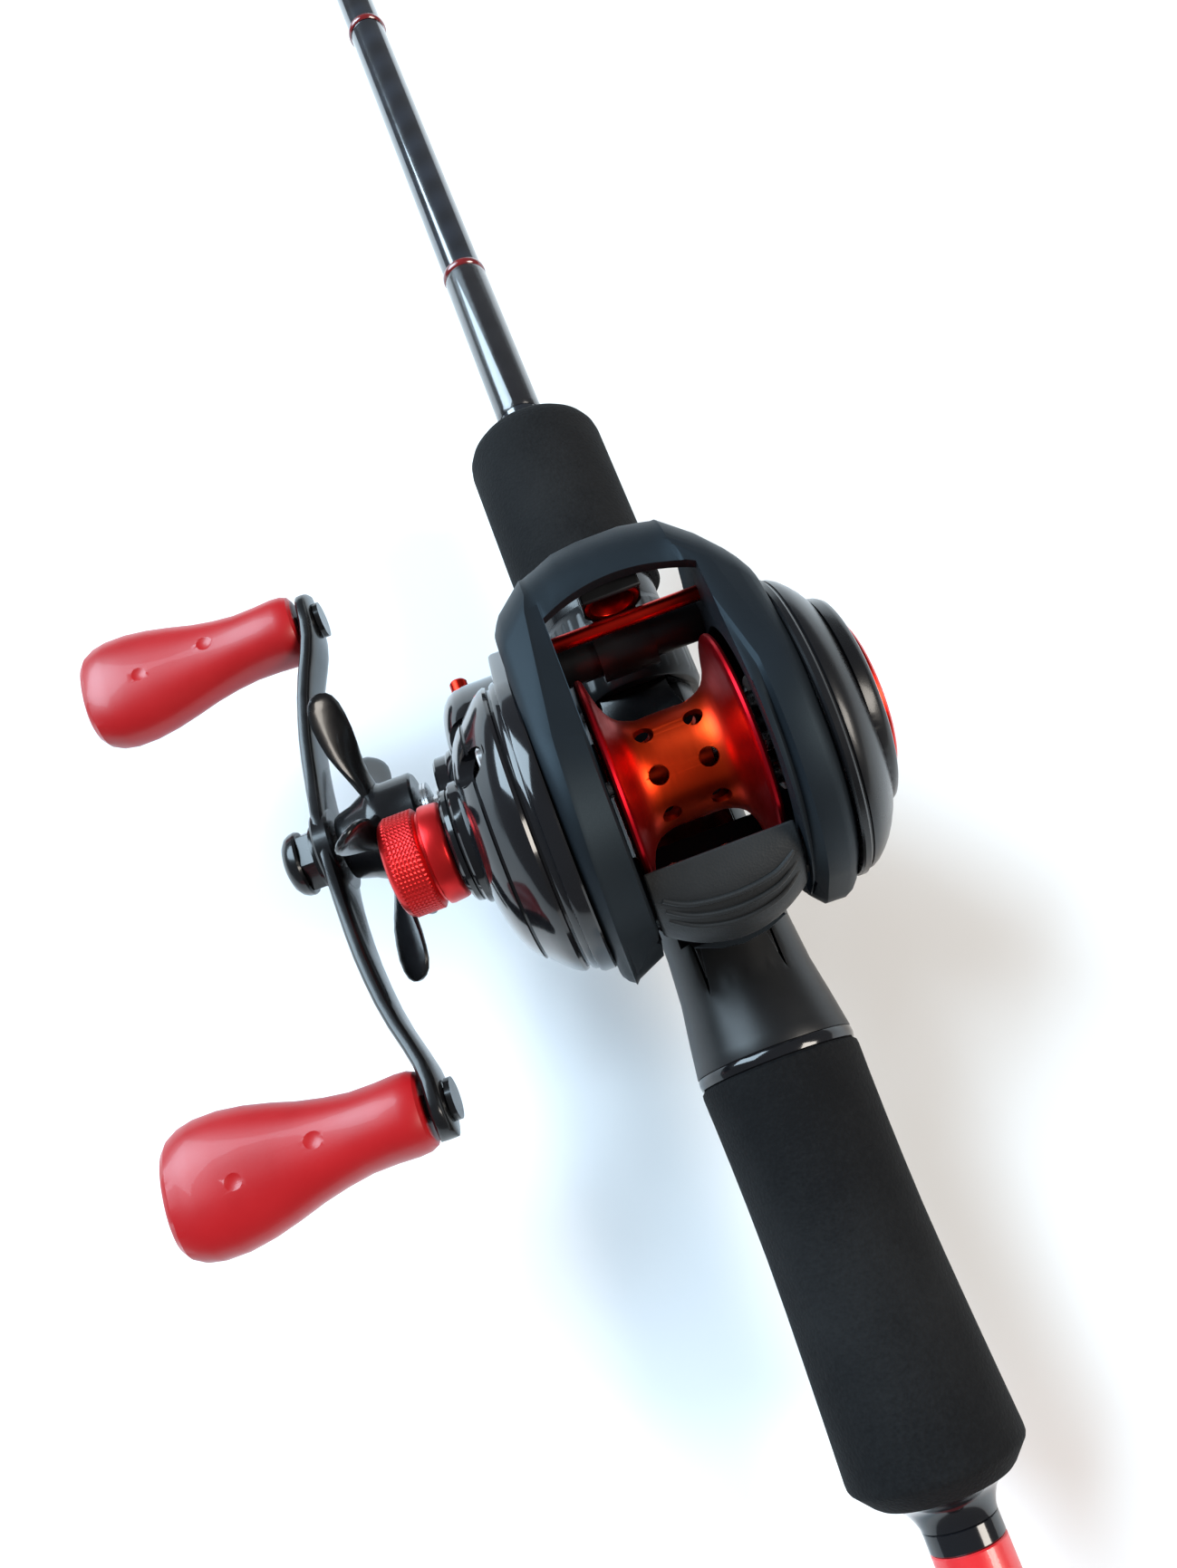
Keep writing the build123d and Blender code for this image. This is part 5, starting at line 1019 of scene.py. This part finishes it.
# ---- Cover screws: three small steel screws with rimmed heads, sunk in the cover's posts and
# turned into the frame's side plate.
HEAD_HIGH = 1.2
parts = []
for y, z, seat in SCREW_SEATS:
    head = seat - HEAD_HIGH
    screw = [(-14.0, ON_AXIS), (-14.0, 1.3), (seat, 1.3), (seat, 2.25), (head + 0.3, 2.25), (head, 1.9),
             (head, 1.1), (head + 0.8, 1.0), (head + 0.8, ON_AXIS)]
    parts.append(lathe_x("screw", screw, y, z, 32))
steel = finish("ground_steel", metal_look((0.42, 0.42, 0.43), (0.62, 0.62, 0.63), 0.18), Metallic=1.0)
shown(joined("cover_screws_set", parts), steel, "rod", "steel", "cover_screws")

# ---- Works inside: ground steel shafts, bearings and springs, machined brass gears, moulded nylon
# gears and clutch parts, and carbon drag washers, which the covers hide. They keep their CAD
# meshes and get finishes only.
brass = finish("machined_brass", metal_look((0.60, 0.38, 0.14), (0.74, 0.50, 0.20), 0.22), Metallic=1.0)
nylon = finish("white_nylon", metal_look((0.62, 0.61, 0.57), (0.74, 0.73, 0.69), 0.40))
felt = finish("carbon_felt", metal_look((0.02, 0.02, 0.021), (0.05, 0.05, 0.052), 0.75, 0.6))
zinc = finish("dark_zinc", metal_look((0.20, 0.21, 0.23), (0.34, 0.35, 0.37), 0.25), Metallic=0.9)
INSIDE = ((steel, ("drive_shaft", "spool_shaft", "spool_bearings", "one_way_bearing", "shaft_bearing",
                   "drive_sleeve", "spring_washers", "pressure_plate", "foot_screws", "idler_pin",
                   "yoke_springs", "worm_shaft", "magnets")),
          (brass, ("drive_gear", "pinion", "pawl")),
          (nylon, ("worm_gear", "idler_gear", "clutch_yoke", "clutch_cam", "magnet_carrier")),
          (felt, ("drag_washers",)), (zinc, ("cap_shim",)), (black_metal, ("knob_spindles",)))
for look, nodes in INSIDE:
    for node in nodes:
        mesh = frame["nodes"][node].data
        mesh.materials.clear()
        mesh.materials.append(look)

# ---- Floor, light and camera: a pale seamless floor just under the rod, one large cool softbox on
# the handle side and a smaller warm one on the palm side, under a weak even sky.
ROD_MIDDLE = 0.9
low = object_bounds()[0]
alone()
bpy.ops.mesh.primitive_plane_add(size=30, location=(0, ROD_MIDDLE, low.z - 0.0005))
floor = bpy.context.object
floor.name = "floor"


def floor_look(place):
    cloud = place.noise(300.0, 2.0)
    return {"Base Color": cloud.tint((0.86, 0.86, 0.86), (0.89, 0.89, 0.89)),
            "Roughness": cloud * 0.1 + 0.6}


floor.data.materials.append(finish("pale_floor", floor_look))

world = bpy.data.worlds.new("studio")
bpy.context.scene.world = world
world.use_nodes = True
sky = world.node_tree.nodes["Background"].inputs
sky["Color"].default_value, sky["Strength"].default_value = (0.90, 0.94, 1.0, 1), 0.25


def softbox(name, place, aim, size, power, colour):
    """A rectangular lamp in metres and watts, aimed at a point."""
    alone()
    bpy.ops.object.light_add(type="AREA", location=place)
    lamp = bpy.context.object
    lamp.name = name
    lamp.data.shape, lamp.data.size, lamp.data.size_y = "RECTANGLE", size[0], size[1]
    lamp.data.energy, lamp.data.color = power, colour
    lamp.rotation_mode = "QUATERNION"
    lamp.rotation_quaternion = (Vector(aim) - Vector(place)).to_track_quat("-Z", "Y")


AIM = (0, 0.3, 0.02)
softbox("window_light", (-1.9, 1.85, 2.3), AIM, (2.2, 2.4), 250, (0.66, 0.85, 1.0))
softbox("room_light", (2.4, -0.8, 2.2), AIM, (1.3, 1.3), 110, (1.0, 0.93, 0.84))

# The camera stands close over the rear grip and looks forward and down on the reel.
EYE = (-0.01225, 0.18123, 0.19258)
alone()
bpy.ops.object.camera_add()
camera = bpy.context.object
camera.name = "camera"
right = Vector((0.937, -0.3268, -0.1232)).normalized()
forward = Vector((-0.0023, 0.347, -0.9379)).normalized()
up = right.cross(forward).normalized()
right = forward.cross(up)
turn = Matrix((right, up, -forward)).transposed().to_4x4()
camera.matrix_world = Matrix.Translation(EYE) @ turn
camera.data.lens, camera.data.sensor_width = 26.85, 36
camera.data.clip_start = 0.005
bpy.context.scene.camera = camera
bpy.context.scene.view_settings.view_transform = "Standard"
